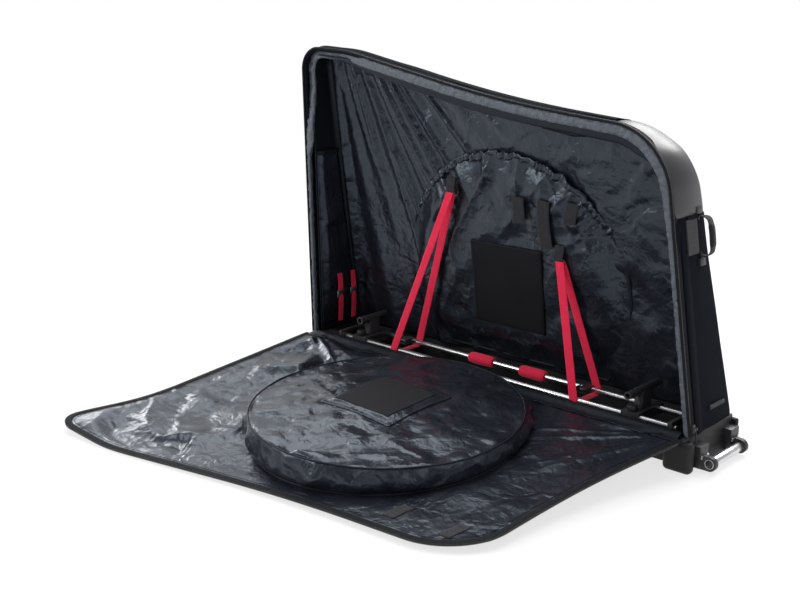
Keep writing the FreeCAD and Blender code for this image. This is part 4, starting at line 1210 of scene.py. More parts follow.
    def build_lip(self) -> None:
        """Make the puckered ribbon round the opening, and the soft roll under the roof."""
        places = OUTLINE.steps(0.0, OUTLINE.length, self.lip_step)
        right_seam = self.seam_places()[3]
        narrow = 1 - 0.8 * ease(places, right_seam - 0.18, right_seam + 0.1)
        wide = 0.011 + 0.015 * ease(places, 0.54, 0.58) * narrow
        ring = oval(1.0, 1.0, 28, 2.8)
        girth = np.linspace(0, 0.06, len(ring))
        pucker = folds(girth[None, :], places[:, None], 0.014, 0.05, 62, 41.0) * 0.0016
        pucker += facets(places[:, None], girth[None, :], 0.020, 43.0) * 0.0020
        pucker[:, -1] = pucker[:, 0]
        inset = 0.0005 + wide[:, None] * (0.5 + ring[None, :, 0])
        depth = np.maximum(-0.1045 + 0.013 * ring[None, :, 1] + pucker, self.lip_front)
        set_back = 0.017 * ease(places, 0.60, 0.74) * (1 - ease(places, 0.94, 1.10))
        section = np.stack([inset, depth + set_back[:, None]], axis=-1)
        # The ribbon takes the paler lip finish, whose colour carries a painted highlight for the front
        # light.
        piece = tube("lip", OUTLINE.band(0.0, OUTLINE.length, self.lip_step, section), LIP_PAINTED_LIGHT)
        dress(piece, "case", "lining", "inner_lip")
        start, stop = 0.88, right_seam - 0.10
        places = OUTLINE.steps(start, stop, 0.006)
        wide = 0.026 * ease(places, start, start + 0.30) * (1 - ease(places, stop - 0.12, stop))
        sag = 1 + 0.10 * swell(places, places * 0, 0.16, 44.0)
        across = 0.5 + ring[None, :, 0]
        inset = 0.016 + (wide * sag)[:, None] * across + 0.004 * across
        depth = np.broadcast_to(-0.096 + 0.012 * ring[None, :, 1], inset.shape)
        roll = OUTLINE.band(start, stop, 0.006, np.stack([inset, depth], axis=-1))
        piece = tube("roof_roll", roll, SMOOTH_LINING)
        dress(piece, "case", "lining")

    def build_zip(self) -> None:
        """Make the zip tape round the opening with its teeth, and the two rain flaps behind it."""
        tape = oval(0.0022, 0.022, 16, 5.0)
        section = np.stack([-0.0022 + tape[:, 0], -0.0965 + tape[:, 1]], axis=-1)
        piece = tube("case_zip", OUTLINE.band(0.0, OUTLINE.length, STEP, section), TAPE)
        dress(piece, "case", "zip_tape", "case_zip_tape")
        places = OUTLINE.steps(0.012, OUTLINE.length - 0.012, 0.004)
        spot, outward = OUTLINE.at(places, -0.0042)
        path = xyz(spot[:, 0], -0.1065, spot[:, 1])
        up = xyz(outward[:, 0], 0.0, outward[:, 1])
        piece = row_of("case_zip_teeth", path, up, TOOTH_PITCH, TOOTH_SIZE, TOOTH_ROUND, HARD)
        dress(piece, "case", "zip_tape")
        flap = np.array([[-0.0012, -0.0845], [-0.0062, -0.0835], [-0.0078, -0.079], [-0.0076, -0.068],
                         [-0.0064, -0.058], [-0.0045, -0.050], [-0.0020, -0.0495], [-0.0018, -0.066],
                         [-0.0016, -0.078], [-0.0012, -0.0845]])
        _, _, top_seam, right_seam, foot = self.seam_places()
        for name, start, stop in (("rain_flap_left", 0.0, top_seam), ("rain_flap_right", right_seam, foot)):
            piece = tube(name, OUTLINE.band(start, stop, STEP, flap), CLOTH)
            dress(piece, "case", "outer_cloth")

    def build(self) -> None:
        """Build every piece of the shell."""
        self.build_walls()
        self.build_back()
        self.build_piping()
        self.build_lining()
        self.build_rod_sleeve()
        self.build_lip()
        self.build_zip()


# Pockets on the inner faces


@dataclass
class InnerPockets:
    """The round wheel pocket on the back, with its hub plate and tabs, and the flat side pocket."""

    radius: float = 0.375
    centre: float = 0.324
    foot: float = 0.100
    top: float = 0.690
    back: float = 0.090
    depth: float = 0.026
    thick: float = 0.0015
    mouth_turn: float = 35.0
    hub: float = 0.240
    tab_top: float = 0.590
    tab_width: float = 0.040
    tab_long: tuple = (0.070, 0.130, 0.070)
    side_front: float = -0.088
    side_back: float = 0.070
    side_foot: float = 0.112
    side_top: float = 0.635
    side_face: float = -0.603

    def front(self, x: np.ndarray, z: np.ndarray) -> np.ndarray:
        """Shape the slack front face of the wheel pocket, while it is drawn upright.

        Args:
            x: X of the places.
            z: Z of the places.

        Returns:
            Y of the face.
        """
        out = np.hypot(x, z - self.centre) / self.radius
        mouth = ease(z, self.centre + 0.55 * self.radius, self.centre + 0.85 * self.radius)
        full = 1 - ease(out, 0.80, 1.0) * (1 - 0.5 * mouth)
        return self.back - self.depth * full * ease(z, self.foot - 0.005, self.foot + 0.10)

    def build_wheel_pocket(self) -> None:
        """Make the pocket's round front and the seam that it hangs from."""
        columns, rows = 170, 130
        low, high = ((level - self.centre) / self.radius for level in (self.foot, self.top))
        z = self.centre + self.radius * np.sin(np.linspace(math.asin(low), math.asin(high), rows))[None, :]
        half = np.sqrt(self.radius ** 2 - (z - self.centre) ** 2)
        share = np.sin(np.linspace(-1, 1, columns) * math.pi / 2)[:, None]
        x = share * half
        z = np.broadcast_to(z, x.shape)
        out, turn = np.hypot(x, z - self.centre), np.arctan2(z - self.centre, x)
        mouth = ease(z, self.centre, self.centre + 0.6 * self.radius)
        slack = 1 - np.abs(share) ** 6 * (1 - 0.5 * mouth)
        calm = 1 - 0.8 * (1 - ease(np.maximum(np.abs(x), np.abs(z - self.centre)), 0.11, 0.15))
        gather = folds(turn * self.radius, out, 0.036, 0.20, 0, 51.0) * 0.010
        gather = gather * ease(out, 0.60 * self.radius, 0.95 * self.radius) * mouth
        creases = (facets(x, z, 0.12, 53.0, 7.0) * 0.011 + facets(x, z, 0.05, 55.0, 8.0) * 0.0025) * calm
        drapes = folds(x, z, 0.075, 0.35, -35, 57.0) * 0.006 + folds(x, z, 0.05, 0.25, 40, 58.0) * 0.003
        creases += drapes * calm
        y = self.front(x, z) - slack * (0.004 + 0.7 * creases + gather)
        points = LEAN.swing(xyz(x, y, z))
        piece = cloth("wheel_pocket", points, self.thick, (0, -1, 0), LINING, LINING)
        dress(piece, "case", "lining", "back_wheel_pocket")
        below = z[0] < self.centre + self.radius * math.sin(math.radians(self.mouth_turn))
        side = xyz(half[0], self.back - 0.003, z[0])[below]
        seam = LEAN.swing(np.concatenate([side[::-1] * np.array((-1, 1, 1)), side]))
        piece = tube("wheel_pocket_seam", sweep(seam, (0, 1, 0), oval(0.007, 0.009, 8)), SMOOTH_LINING)
        dress(piece, "case", "lining")

    def build_hem(self) -> None:
        """Run the elastic hem round the pocket's mouth, which gathers it in short rucks."""
        turn = np.radians(np.linspace(self.mouth_turn - 4, 184 - self.mouth_turn, 420))
        run = turn * self.radius
        ruck = 0.004 * folds(run, run * 0, 0.026, 1.0, 0, 61.0)
        ruck = ruck + 0.004 * folds(run, run * 0, 0.011, 1.0, 0, 62.0)
        radius = self.radius - 0.004 + ruck
        x, z = radius * np.cos(turn), self.centre + radius * np.sin(turn)
        path = LEAN.swing(xyz(x, self.front(x, z) - 0.006 + 0.7 * ruck, z))
        girth = 1 + 0.22 * swell(run, run * 0, 0.011, 63.0)
        ring = oval(0.018, 0.0055, 12, 2.4)[None] * girth[:, None, None]
        outward = xyz(np.cos(turn), 0.0, np.sin(turn))
        piece = tube("wheel_pocket_hem", sweep(path, outward, ring), LINING)
        dress(piece, "case", "lining", "pocket_hem")

    def build_hub_plate(self) -> None:
        """Sew a square of smooth cloth on the middle of the pocket, with a line of stitches."""
        side = np.linspace(-self.hub / 2, self.hub / 2, 40)
        x, z = np.meshgrid(side, side + self.centre, indexing="ij")
        y = self.front(x, z) - 0.0085 - 0.0012 * swell(x, z, 0.07, 65.0)
        points = LEAN.swing(xyz(x, y, z))
        piece = cloth("pocket_hub_patch", points, 0.003, (0, -1, 0), PATCH, PATCH)
        dress(piece, "case", "lining", "pocket_hub_plate")
        edge = self.hub / 2 - 0.007
        corners = [(-edge, -edge), (edge, -edge), (edge, edge), (-edge, edge), (-edge, -edge)]
        ring = np.concatenate([np.linspace(a, b, 40)[:-1] for a, b in zip(corners, corners[1:])])
        x, z = ring[:, 0], ring[:, 1] + self.centre
        path = LEAN.swing(xyz(x, self.front(x, z) - 0.0092, z))
        piece = row_of("hub_patch_stitches", path, (0, -1, 0), 0.0045, (0.0032, 0.0009, 0.0008), 0.0002,
                       TAPE)
        dress(piece, "case", "lining")

    def build_tabs(self) -> None:
        """Hang the three hook-and-loop tabs on the pocket's face."""
        low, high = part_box("pocket_tabs")
        spots = np.linspace(low.x + self.tab_width / 2, high.x - self.tab_width / 2, len(self.tab_long))
        for number, (middle, length) in enumerate(zip(spots, self.tab_long)):
            height = np.linspace(self.tab_top, self.tab_top - length, 18)
            x = np.full_like(height, middle) + 0.004 * np.sin(height * 30 + number)
            curl = 0.006 * ease(self.tab_top - height, length - 0.03, length) * (number - 1)
            y = self.front(x, height) - 0.0145 + curl
            path = LEAN.swing(xyz(x, y, height))
            ring = oval(self.tab_width, 0.003, 12, 6.0)
            piece = tube(f"pocket_tab_{number + 1}", sweep(path, (1, 0, 0), ring), BLACK_WEB)
            nodes = ("pocket_tabs",) if number == 1 else ()
            dress(piece, "case", "webbing_black", *nodes)

    def build_side_pocket(self) -> None:
        """Make the flat pocket on the left wall and its bound top edge."""
        z = np.linspace(self.side_foot, self.side_top, 110)[None, :]
        across, z = np.broadcast_arrays(np.linspace(0, 1, 50)[:, None], z)
        y = self.side_front + (self.side_back - LEAN.forward(z) - self.side_front) * across
        lean = LEFT_FOOT - (z - RIM) * (LEFT_FOOT - LEFT_TOP) / (TOP - RIM) + WALL
        edge = ease(across, 0.0, 0.2) * ease(1 - across, 0.0, 0.2)
        edge = edge * ease(z, self.side_foot - 0.01, self.side_foot + 0.08)
        slim = 1 - 0.6 * ease(z, 0.30, self.side_top)
        deep = 0.007 + (self.side_face - 0.006 - lean - 0.007) * edge * slim
        creases = folds(y, z, 0.040, 0.40, 6, 71.0) * 0.0025 + facets(y, z, 0.07, 73.0, 4.0) * 0.003
        points = xyz(lean + deep + creases * edge, y, z)
        piece = cloth("side_pocket_front", points, self.thick, (1, 0, 0), LINING, LINING)
        dress(piece, "case", "lining", "side_pocket")
        path = points[:, -1] + np.array((0.001, 0.0, 0.0))
        piece = tube("side_pocket_binding", sweep(path, (0, 0, 1), oval(0.014, 0.004, 10, 4.0)), TAPE)
        dress(piece, "case", "lining")

    def build(self) -> None:
        """Build both pockets."""
        self.build_wheel_pocket()
        self.build_hem()
        self.build_hub_plate()
        self.build_tabs()
        self.build_side_pocket()


# The flap that lies open


@dataclass
class Flap:
    """The open front flap: its cloth, bound edge, zip teeth, fold and drum pocket."""

    foot: float = 0.108
    length: float = 0.855
    thick: float = 0.003
    sag: float = 0.012
    curl: float = 0.019
    spread_tip: float = 0.045
    waist: float = 0.022
    crown: float = 0.026
    drum_along: float = 0.012
    drum_reach: float = 0.353
    drum_radius: float = 0.343
    drum_height: float = 0.066
    drum_cloth: float = 0.002
    mouth: float = 0.210
    patch: float = 0.230
    patch_seat: float = 0.0020
    patch_board: float = 0.0045
    patch_hem: float = 0.0012
    patch_inner: float = 0.78
    pad_half: tuple = (0.015, 0.031)
    pad_spots: tuple = ((0.318, 0.649), (0.468, 0.640))

    def hang(self, along: np.ndarray, reach: np.ndarray) -> np.ndarray:
        """Let the flap's cloth sag from the fold down to the floor, least at its left.

        Args:
            along: X of the places.
            reach: their distance from the fold.

        Returns:
            The rise over the flap's plane.
        """
        share = np.clip(reach / self.length, 0, 1)
        loose = 1 - 0.9 * ease(-along, 0.30, 0.60)
        return -self.sag * loose * np.sin(np.pi * share) ** 0.8 * (1 - 0.6 * share)

    @staticmethod
    def fan(out: np.ndarray, reach: np.ndarray, seed: float) -> np.ndarray:
        """Make pleats that spread over the flap from one end of the fold.

        Args:
            out: distance along the fold from that end.
            reach: distance from the fold.
            seed: picks one of many such fields.

        Returns:
            The pleats' heights.
        """
        far = np.hypot(out, reach)
        ridge = folds(np.arctan2(reach, out), far, 0.17, 3.0, 0, seed)
        return 0.007 * ridge * ease(far, 0.02, 0.12) * (1 - ease(far, 0.24, 0.50))

    def rise(self, along: np.ndarray, reach: np.ndarray) -> np.ndarray:
        """Shape the flap's upper face, with its folds, its crumples and its turned-up corner.

        Args:
            along: X of the places.
            reach: their distance from the fold.

        Returns:
            The rise over the flap's plane.
        """
        free = ease(OUTLINE.gap(along, reach + FOLD.height), 0.004, 0.075)
        from_drum = np.hypot(along - self.drum_along, reach - self.drum_reach) - self.drum_radius
        clear = ease(from_drum, -0.01, 0.05)
        left = ease(-along, 0.05, 0.40)
        soft = facets(along, reach, 0.15, 85.0, 9.0) * (0.003 + 0.015 * left)
        soft += facets(along, reach, 0.06, 87.0, 8.0) * (0.0015 + 0.0040 * left)
        soft += folds(along, reach, 0.13, 0.5, -43, 88.0) * 0.010 * left
        soft = soft * ease(reach, 0.0, 0.10)
        soft += self.fan(along + 0.625, reach, 89.0) + 0.6 * self.fan(0.635 - along, reach, 90.0)
        tip = ease(-along, 0.44, 0.67) * ease(reach, 0.56, 0.86)
        body = self.hang(along, reach) + soft * clear * free + self.curl * tip ** 1.3
        return np.maximum(body, FOLD.floor(reach, 0.0045)) + self.thick

    def spread(self, along: np.ndarray, reach: np.ndarray) -> np.ndarray:
        """Spread the flap's turned-up corner further out, and draw its right edge in.

        Args:
            along: X of the places before that.
            reach: their distance from the fold.

        Returns:
            X of the places.
        """
        tip = self.spread_tip * ease(-along, 0.40, 0.66) * ease(reach, 0.50, 0.86)
        drawn = self.waist * ease(along, 0.30, 0.62) * np.sin(np.pi * np.clip(reach / 0.62, 0, 1))
        return along - tip - drawn

    def place(self, along: np.ndarray, reach: np.ndarray, over: np.ndarray) -> np.ndarray:
        """Points a distance over the flap's cloth."""
        return FOLD.place(self.spread(along, reach), reach, self.rise(along, reach) + over)

    def build_panel(self) -> None:
        """Lay the flap's cloth: lining above and outer cloth below."""
        net = OUTLINE.fill(lambda places: 0 * places + 0.002, self.foot, 260, 170)
        points = self.place(net[..., 0], net[..., 1] - FOLD.height, np.zeros(net.shape[:2]))
        piece = cloth("flap_cloth", points, self.thick, (0, 0, 1), LINING, CLOTH)
        dress(piece, "flap", "lining", "flap_panel")

    def edge(self, inset: float, step: float, start: float = 0.0) -> tuple[np.ndarray, np.ndarray]:
        """Follow the flap's edge.

        Args:
            inset: distance inside the outline.
            step: length of the steps.
            start: distance left free at both ends.

        Returns:
            Places along and reach on the flap, and the outward directions there.
        """
        low = OUTLINE.crossing(self.foot, False) + start
        high = OUTLINE.crossing(self.foot, True) - start
        spot, outward = OUTLINE.at(OUTLINE.steps(low, high, step), inset)
        return spot - np.array((0.0, FOLD.height)), outward

    def build_edge(self) -> None:
        """Bind the flap's edge with tape and set the zip teeth along it."""
        spot, outward = self.edge(0.004, STEP)
        level = self.rise(spot[:, 0], spot[:, 1]) - self.thick / 2
        ring = oval(0.018, 0.0076, 16, 3.0)
        flat = spot[:, None, :] + outward[:, None, :] * ring[None, :, 0:1]
        rise = level[:, None] + ring[None, :, 1]
        rise = np.maximum(rise, FOLD.floor(flat[..., 1], 0.0008))
        wide = self.spread(flat[..., 0], flat[..., 1])
        piece = tube("flap_binding", FOLD.place(wide, flat[..., 1], rise), TAPE)
        dress(piece, "flap", "zip_tape", "flap_zip_tape")
        spot, outward = self.edge(-0.0045, 0.004, 0.012)
        level = self.rise(spot[:, 0], spot[:, 1]) - self.thick / 2
        level = np.maximum(level, FOLD.floor(spot[:, 1], 0.003))
        wide = self.spread(spot[:, 0], spot[:, 1])
        path = FOLD.place(wide, spot[:, 1], level)
        up = FOLD.place(wide + outward[:, 0], spot[:, 1] + outward[:, 1], level) - path
        piece = row_of("flap_zip_teeth", path, up, TOOTH_PITCH, TOOTH_SIZE, TOOTH_ROUND, HARD)
        dress(piece, "flap", "zip_tape")
        spot, _ = self.edge(0.0185, STEP)
        path = self.place(spot[:, 0], spot[:, 1], np.full(len(spot), 0.0006))
        piece = row_of("flap_stitches", path, (0, 0, 1), 0.0052, (0.0036, 0.001, 0.0009), 0.0002, TAPE)
        dress(piece, "flap", "zip_tape")

    def build_fold(self) -> None:
        """Carry the lining from inside the tub over the fold onto the flap."""
        profile = smooth_path([(0, -0.1005, 0.072), (0, -0.1005, 0.086), (0, -0.1035, 0.0945),
                               (0, -0.110, 0.0985), (0, -0.119, 0.0985), (0, -0.128, 0.0955),
                               (0, -0.138, 0.0915), (0, -0.150, 0.0885)], 26)
        along = np.linspace(-0.6225, 0.634, 240)
        x, y = np.broadcast_arrays(along[:, None], profile[None, :, 1])
        reach = FOLD.across - y
        past = ease(reach, 0.004, 0.030)
        lay = self.place(x, np.maximum(reach, 0.0), np.full(x.shape, 0.0022))[..., 2]
        ruck = 0.0016 * folds(x, y, 0.03, 0.12, 10, 91.0)
        z = profile[None, :, 2] * (1 - past) + lay * past + ruck
        piece = cloth("fold_cloth", xyz(x, y, z), 0.0015, (0, -0.3, 1), SMOOTH_LINING, CLOTH)
        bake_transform(piece)
        dress(piece, None, "lining", "flap_hem")

    def drum_rise(self, reach: np.ndarray) -> np.ndarray:
        """Rise of the flap under the drum, without crumples."""
        return np.maximum(self.hang(0.0 * reach, reach), FOLD.floor(reach, 0.0045)) + self.thick

    def drum_rim(self, right: np.ndarray, far: np.ndarray) -> np.ndarray:
        """Height of the drum's upper edge over the flap, which is lower by the fold."""
        return self.drum_height - 0.010 - 0.009 * right + 0.019 * far

    def lid(self, right: np.ndarray, far: np.ndarray) -> np.ndarray:
        """Shape the drum's slack top.

        Args:
            right: places from its centre along X, in radii.
            far: places from its centre away from the fold, in radii.

        Returns:
            Heights over the flap.
        """
        out = np.hypot(right, far)
        turn = np.arctan2(far, right)
        x, v = right * self.drum_radius, far * self.drum_radius
        slope = np.clip((out - 0.33) / 0.67, 0, 1)
        tent = self.crown * (1 - slope) ** 1.4
        square = np.maximum(np.abs(x), np.abs(v))
        calm = ease(square, 0.118, 0.16) * (1 - ease(out, 0.97, 1.0))
        ties = np.abs(np.cos(2 * (turn - math.pi / 4))) ** 14
        ties = ties * 0.005 * ease(out, 0.42, 0.55) * (1 - ease(out, 0.7, 0.95))
        crease = facets(x, v, 0.10, 101.0, 6.5) * 0.008 + facets(x, v, 0.04, 103.0, 6.5) * 0.0032
        crease += folds(x, v, 0.08, 0.20, 50, 105.0) * 0.0020
        return self.drum_rim(right, far) + tent + ties + crease * calm

    def on_flap(self, right: np.ndarray, far: np.ndarray) -> tuple[np.ndarray, np.ndarray]:
        """Places along and reach on the flap, from places on the drum in radii."""
        return self.drum_along + right * self.drum_radius, self.drum_reach + far * self.drum_radius

    def drum_points(self, right: np.ndarray, far: np.ndarray, height: np.ndarray) -> np.ndarray:
        """Points of the drum from places in radii and heights over the flap."""
        along, reach = self.on_flap(right, far)
        return FOLD.place(along, reach, self.drum_rise(reach) + height)

    def cloth_lift(self, right: np.ndarray, far: np.ndarray) -> np.ndarray:
        """Height of the flap's face over the drum's floor, where the cloth is higher."""
        along, reach = self.on_flap(right, far)
        return np.maximum(self.rise(along, reach) - self.drum_rise(reach), 0)

    def build_drum(self) -> None:
        """Make the drum's slack top, its bulging side that is open by the fold, its piping and patch."""
        side = np.linspace(-1, 1, 130)
        u, v = np.meshgrid(side, side, indexing="ij")
        right, far = u * np.sqrt(1 - v * v / 2), v * np.sqrt(1 - u * u / 2)
        points = self.drum_points(right, far, self.lid(right, far))
        top = cloth("drum_lid", points, self.drum_cloth, (0, 0, 1), LINING, LINING)
        dress(top, "flap", "lining", "drum_top")
        gap = math.asin(self.mouth / self.drum_radius)
        turn = np.linspace(-math.pi / 2 + gap, 1.5 * math.pi - gap, 420)[:, None]
        up = np.linspace(0, 1, 22)[None, :]
        girth, height = turn * self.drum_radius, up * self.drum_height
        crease = facets(girth, height, 0.06, 111.0, 7.0) * 0.009
        crease = crease + folds(girth, height, 0.05, 0.12, 58, 113.0) * 0.005
        out = 1 + (0.004 + 0.012 * np.sin(np.pi * up) ** 0.8 - 0.004 * up
                   + crease * np.sin(np.pi * up)) / self.drum_radius
        right, far = np.cos(turn), np.sin(turn)
        lift = self.cloth_lift(right * out[:, :1], far * out[:, :1])
        height = lift + up * (self.drum_rim(right, far) - lift)
        height = height * (1 + 0.04 * swell(girth, up * 0, 0.09, 115.0) * np.sin(np.pi * up))
        points = self.drum_points(right * out, far * out, np.broadcast_to(height, out.shape))
        middle = self.drum_points(np.zeros(1), np.zeros(1), np.array([0.03]))[0]
        wall = cloth("drum_wall", points, self.drum_cloth, (1,), LINING, LINING, about=middle)
        dress(wall, "flap", "lining", "drum_side")
        round_turn = np.linspace(0, 2 * math.pi, 360, endpoint=False)
        for name, scale, share, size, nodes in (("drum_piping_top", 1.003, 1.0, 0.0048, ("drum_piping",)),
                                                ("drum_piping_base", 1.016, 0.02, 0.005, ())):
            right, far = np.cos(round_turn) * scale, np.sin(round_turn) * scale
            level = share * self.drum_rim(right, far)
            level = level + 0.001 * swell(round_turn, round_turn * 0, 0.2, 117.0)
            path = self.drum_points(right, far, np.maximum(level, self.cloth_lift(right, far)))
            cord = sweep(path, (0, 0, 1), oval(size, size, 8), loop=True)
            dress(tube(name, cord, SMOOTH_LINING, loop=True), "flap", "lining", *nodes)
        self.build_drum_patch()

    def build_drum_patch(self) -> None:
        """Sew the square hub patch on the drum's top: a smooth middle inside a raised folded border."""
        half = self.patch / 2
        side = np.linspace(-half, half, 56)
        x, v = np.meshgrid(side, side, indexing="ij")
        right, far = x / self.drum_radius, v / self.drum_radius
        rim = np.maximum(np.abs(x), np.abs(v))
        board = self.patch_board * ease(half - rim, 0.010, 0.024)
        hem = self.patch_hem * np.exp(-((half - rim - 0.003) / 0.003) ** 2)
        over = self.patch_seat + board + hem + 0.0008 * swell(x, v, 0.08, 121.0)
        points = self.drum_points(right, far, self.lid(right, far) + over)
        piece = cloth("drum_patch", points, 0.0024, (0, 0, 1), LINING, LINING)
        dress(piece, "flap", "lining", "drum_hub_patch")
        inner = self.patch_inner
        x, v, right, far = x * inner, v * inner, right * inner, far * inner
        over = self.patch_seat + self.patch_board + self.patch_hem + 0.0008 * swell(x, v, 0.08, 121.0)
        points = self.drum_points(right, far, self.lid(right, far) + over)
        piece = cloth("drum_patch_middle", points, 0.0010, (0, 0, 1), PATCH, PATCH)
        dress(piece, "flap", "lining")

    def build_pads(self) -> None:
        """Sew two small hook-and-loop pads on the flap near its right corner."""
        wide, tall = self.pad_half
        side, out = np.meshgrid(np.linspace(-wide, wide, 8), np.linspace(-tall, tall, 14), indexing="ij")
        lean = 0.14 * out
        for number, (along, reach) in enumerate(self.pad_spots):
            points = self.place(along + side - lean, reach + out, np.full(side.shape, 0.0016))
            piece = cloth(f"flap_pad_{number + 1}", points, 0.0014, (0, 0, 1), BLACK_WEB, BLACK_WEB)
            dress(piece, "flap", "webbing_black")

    def build(self) -> None:
        """Build every piece of the flap."""
        self.build_panel()
        self.build_edge()
        self.build_fold()
        self.build_drum()
        self.build_pads()


# Hard pieces: tub, wheels, stand and tow bar


@dataclass
class HardPieces:
    """Pieces whose solids are right and only need rounded edges, and the trim that goes with them."""

    bevels: dict = field(default_factory=lambda: {
        "base_screws": 0.0006, "base_tub": 0.0035, "wheel_housing_front": 0.003,
        "wheel_housing_rear": 0.003, "wheel_tyre_front": 0.002, "wheel_tyre_rear": 0.002,
        "wheel_core_front": 0.001,
        "wheel_core_rear": 0.001, "wheel_bearings_front": 0.0005, "wheel_bearings_rear": 0.0005,
        "wheel_axles": 0.0008, "skid_runners": 0.004, "stiffener_rods": 0.0015, "fold_bead": 0.001,
        "tow_bar_tube": 0.0008, "tow_bar_plugs": 0.0012, "tow_bar_brackets": 0.0055,
        "stand_rail_front": 0.0012, "stand_rail_rear": 0.0012, "stand_bracket_left": 0.0022,
        "stand_bracket_right": 0.0022, "fork_carriage": 0.0018, "rear_carriage": 0.0018,
        "fork_clamp_knob": 0.002, "rear_clamp_knob": 0.002, "cam_buckle_left": 0.0008,
        "cam_buckle_right": 0.0008, "cam_lever_left": 0.0008, "cam_lever_right": 0.0008,
        "fork_strap_buckles": 0.0008, "handle_anchors": 0.002, "zip_slider_left": 0.0008,
        "zip_slider_right": 0.0008, "zip_pull_left": 0.0007, "zip_pull_right": 0.0007})
    corner_spots: tuple = ((0.629, -0.1165, 0.040), (0.629, 0.1060, 0.040))
    corner_sizes: tuple = ((0.076, 0.030, 0.080), (0.076, 0.015, 0.080))

    def build_corners(self) -> None:
        """Mould a rounded bumper on each corner of the tub's tow end."""
        for end, spot, size in zip(("front", "rear"), self.corner_spots, self.corner_sizes):
            piece = primitive(bpy.ops.mesh.primitive_cube_add, f"corner_bumper_{end}", size=1,
                              location=spot)
            piece.scale = size
            bpy.ops.object.transform_apply(location=True, rotation=False, scale=True)
            apply_modifier(piece, "BEVEL", width=0.43 * size[1], segments=6, limit_method="NONE")
            piece.data.materials.append(TUB.material())
            pick(piece)
            bpy.ops.object.shade_smooth_by_angle(angle=math.radians(40))
            dress(piece, "case", "tub_plastic")

    def build(self) -> None:
        """Round every hard piece's edges and add the tub's bumpers."""
        for node, bevel in self.bevels.items():
            from_node(node, bevel)
        self.build_corners()


# Straps, sleeves and handles


@dataclass
class Straps:
    """The red straps of the stand and the padded sleeves on its rear rail."""

    width: float = 0.025
    thick: float = 0.0022
    rail_front: float = -0.070
    rail_rear: float = 0.025
    rail_height: float = 0.086
    wrap: float = 0.0094
    along: dict = field(default_factory=lambda: {"left": -0.330, "right": 0.300})
    peaks: dict = field(default_factory=lambda: {"left": (-0.170, 0.050, 0.585),
                                                 "right": (0.185, 0.050, 0.440)})

    def round_rail(self, x: float, rail: float, side: int, angles: np.ndarray) -> np.ndarray:
        """Points of a belt that wraps one side of a rail, at angles from the rail's underside."""
        y, z = rail + side * self.wrap * np.sin(angles), self.rail_height - self.wrap * np.cos(angles)
        return xyz(x, y, z)

    def build_belts(self) -> None:
        """Lead a belt from each rail up to the wheel pocket, as a loop under both rails."""
        apart = np.array((0, 0.004, 0))
        for end, x in self.along.items():
            peak = LEAN.swing(self.peaks[end])
            front = self.round_rail(x, self.rail_front, -1, np.linspace(0, 0.62 * math.pi, 10))
            rear = self.round_rail(x, self.rail_rear, 1, np.linspace(0.55 * math.pi, 0, 10))
            low = xyz(x, np.linspace(self.rail_rear, self.rail_front, 12), self.rail_height - self.wrap)
            share = np.linspace(0, 1, 26)[1:, None]
            climb = front[-1] * (1 - share) + (peak - apart) * share
            drop = (peak + apart) * (1 - share) + rear[0] * share
            path = np.concatenate([front, climb, drop[:-1], rear, low[1:-1]])
            ring = oval(self.width, self.thick, 12, 5.0)
            piece = tube(f"frame_belt_{end}", sweep(path, (1, 0, 0), ring, loop=True), RED_WEB, loop=True)
            dress(piece, "case", "webbing_red", f"frame_strap_{end}")
            self.build_keeper(end)

    def build_keeper(self, end: str) -> None:
        """Hold the top of a belt with a short black webbing loop that is sewn to the wheel pocket.

        Args:
            end: which belt.
        """
        loop = ((0, 0.002, 0.034), (0, -0.0055, 0.014), (0, -0.008, 0.0), (0, -0.004, -0.012),
                (0, 0.004, -0.012), (0, 0.008, 0.0), (0, 0.008, 0.014), (0, 0.005, 0.034))
        path = LEAN.swing(np.array(self.peaks[end]) + smooth_path(loop, 40))
        band = sweep(path, (1, 0, 0), oval(0.030, self.thick, 12, 5.0))
        dress(tube(f"belt_keeper_{end}", band, BLACK_WEB), "case", "webbing_black")

    def build_fork_straps(self) -> None:
        """Hang the two fork straps on the side pocket's face."""
        low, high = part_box("fork_straps")
        for number, y in enumerate((-0.028, 0.028)):
            z = np.linspace(high.z, low.z, 30)
            bow = 0.004 * np.sin(np.pi * (z - low.z) / (high.z - low.z))
            path = xyz(low.x + 0.001 + bow, y, z)
            belt = sweep(path, (0, 1, 0), oval(0.020, self.thick, 12, 5.0))
            nodes = ("fork_straps",) if number == 0 else ()
            dress(tube(f"fork_strap_{number + 1}", belt, RED_WEB), "case", "webbing_red", *nodes)

    def build_sleeves(self) -> None:
        """Make the two padded sleeves on the rear rail."""
        low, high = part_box("tube_sleeves")
        length = 0.084
        for number, start in enumerate((low.x, high.x - length)):
            share = np.linspace(0, 1, 30)
            puff = 0.0165 - 0.0028 * (np.abs(2 * share - 1) ** 6)
            path = xyz(start + length * share, self.rail_rear, self.rail_height)
            ring = oval(2.0, 2.0, 28)[None] * puff[:, None, None]
            piece = tube(f"tube_sleeve_{number + 1}", sweep(path, (0, 0, 1), ring), RED_WEB)
            nodes = ("tube_sleeves",) if number == 0 else ()
            dress(piece, "case", "webbing_red", *nodes)

    def build(self) -> None:
        """Build the belts, fork straps and sleeves."""
        self.build_belts()
        self.build_fork_straps()
        self.build_sleeves()


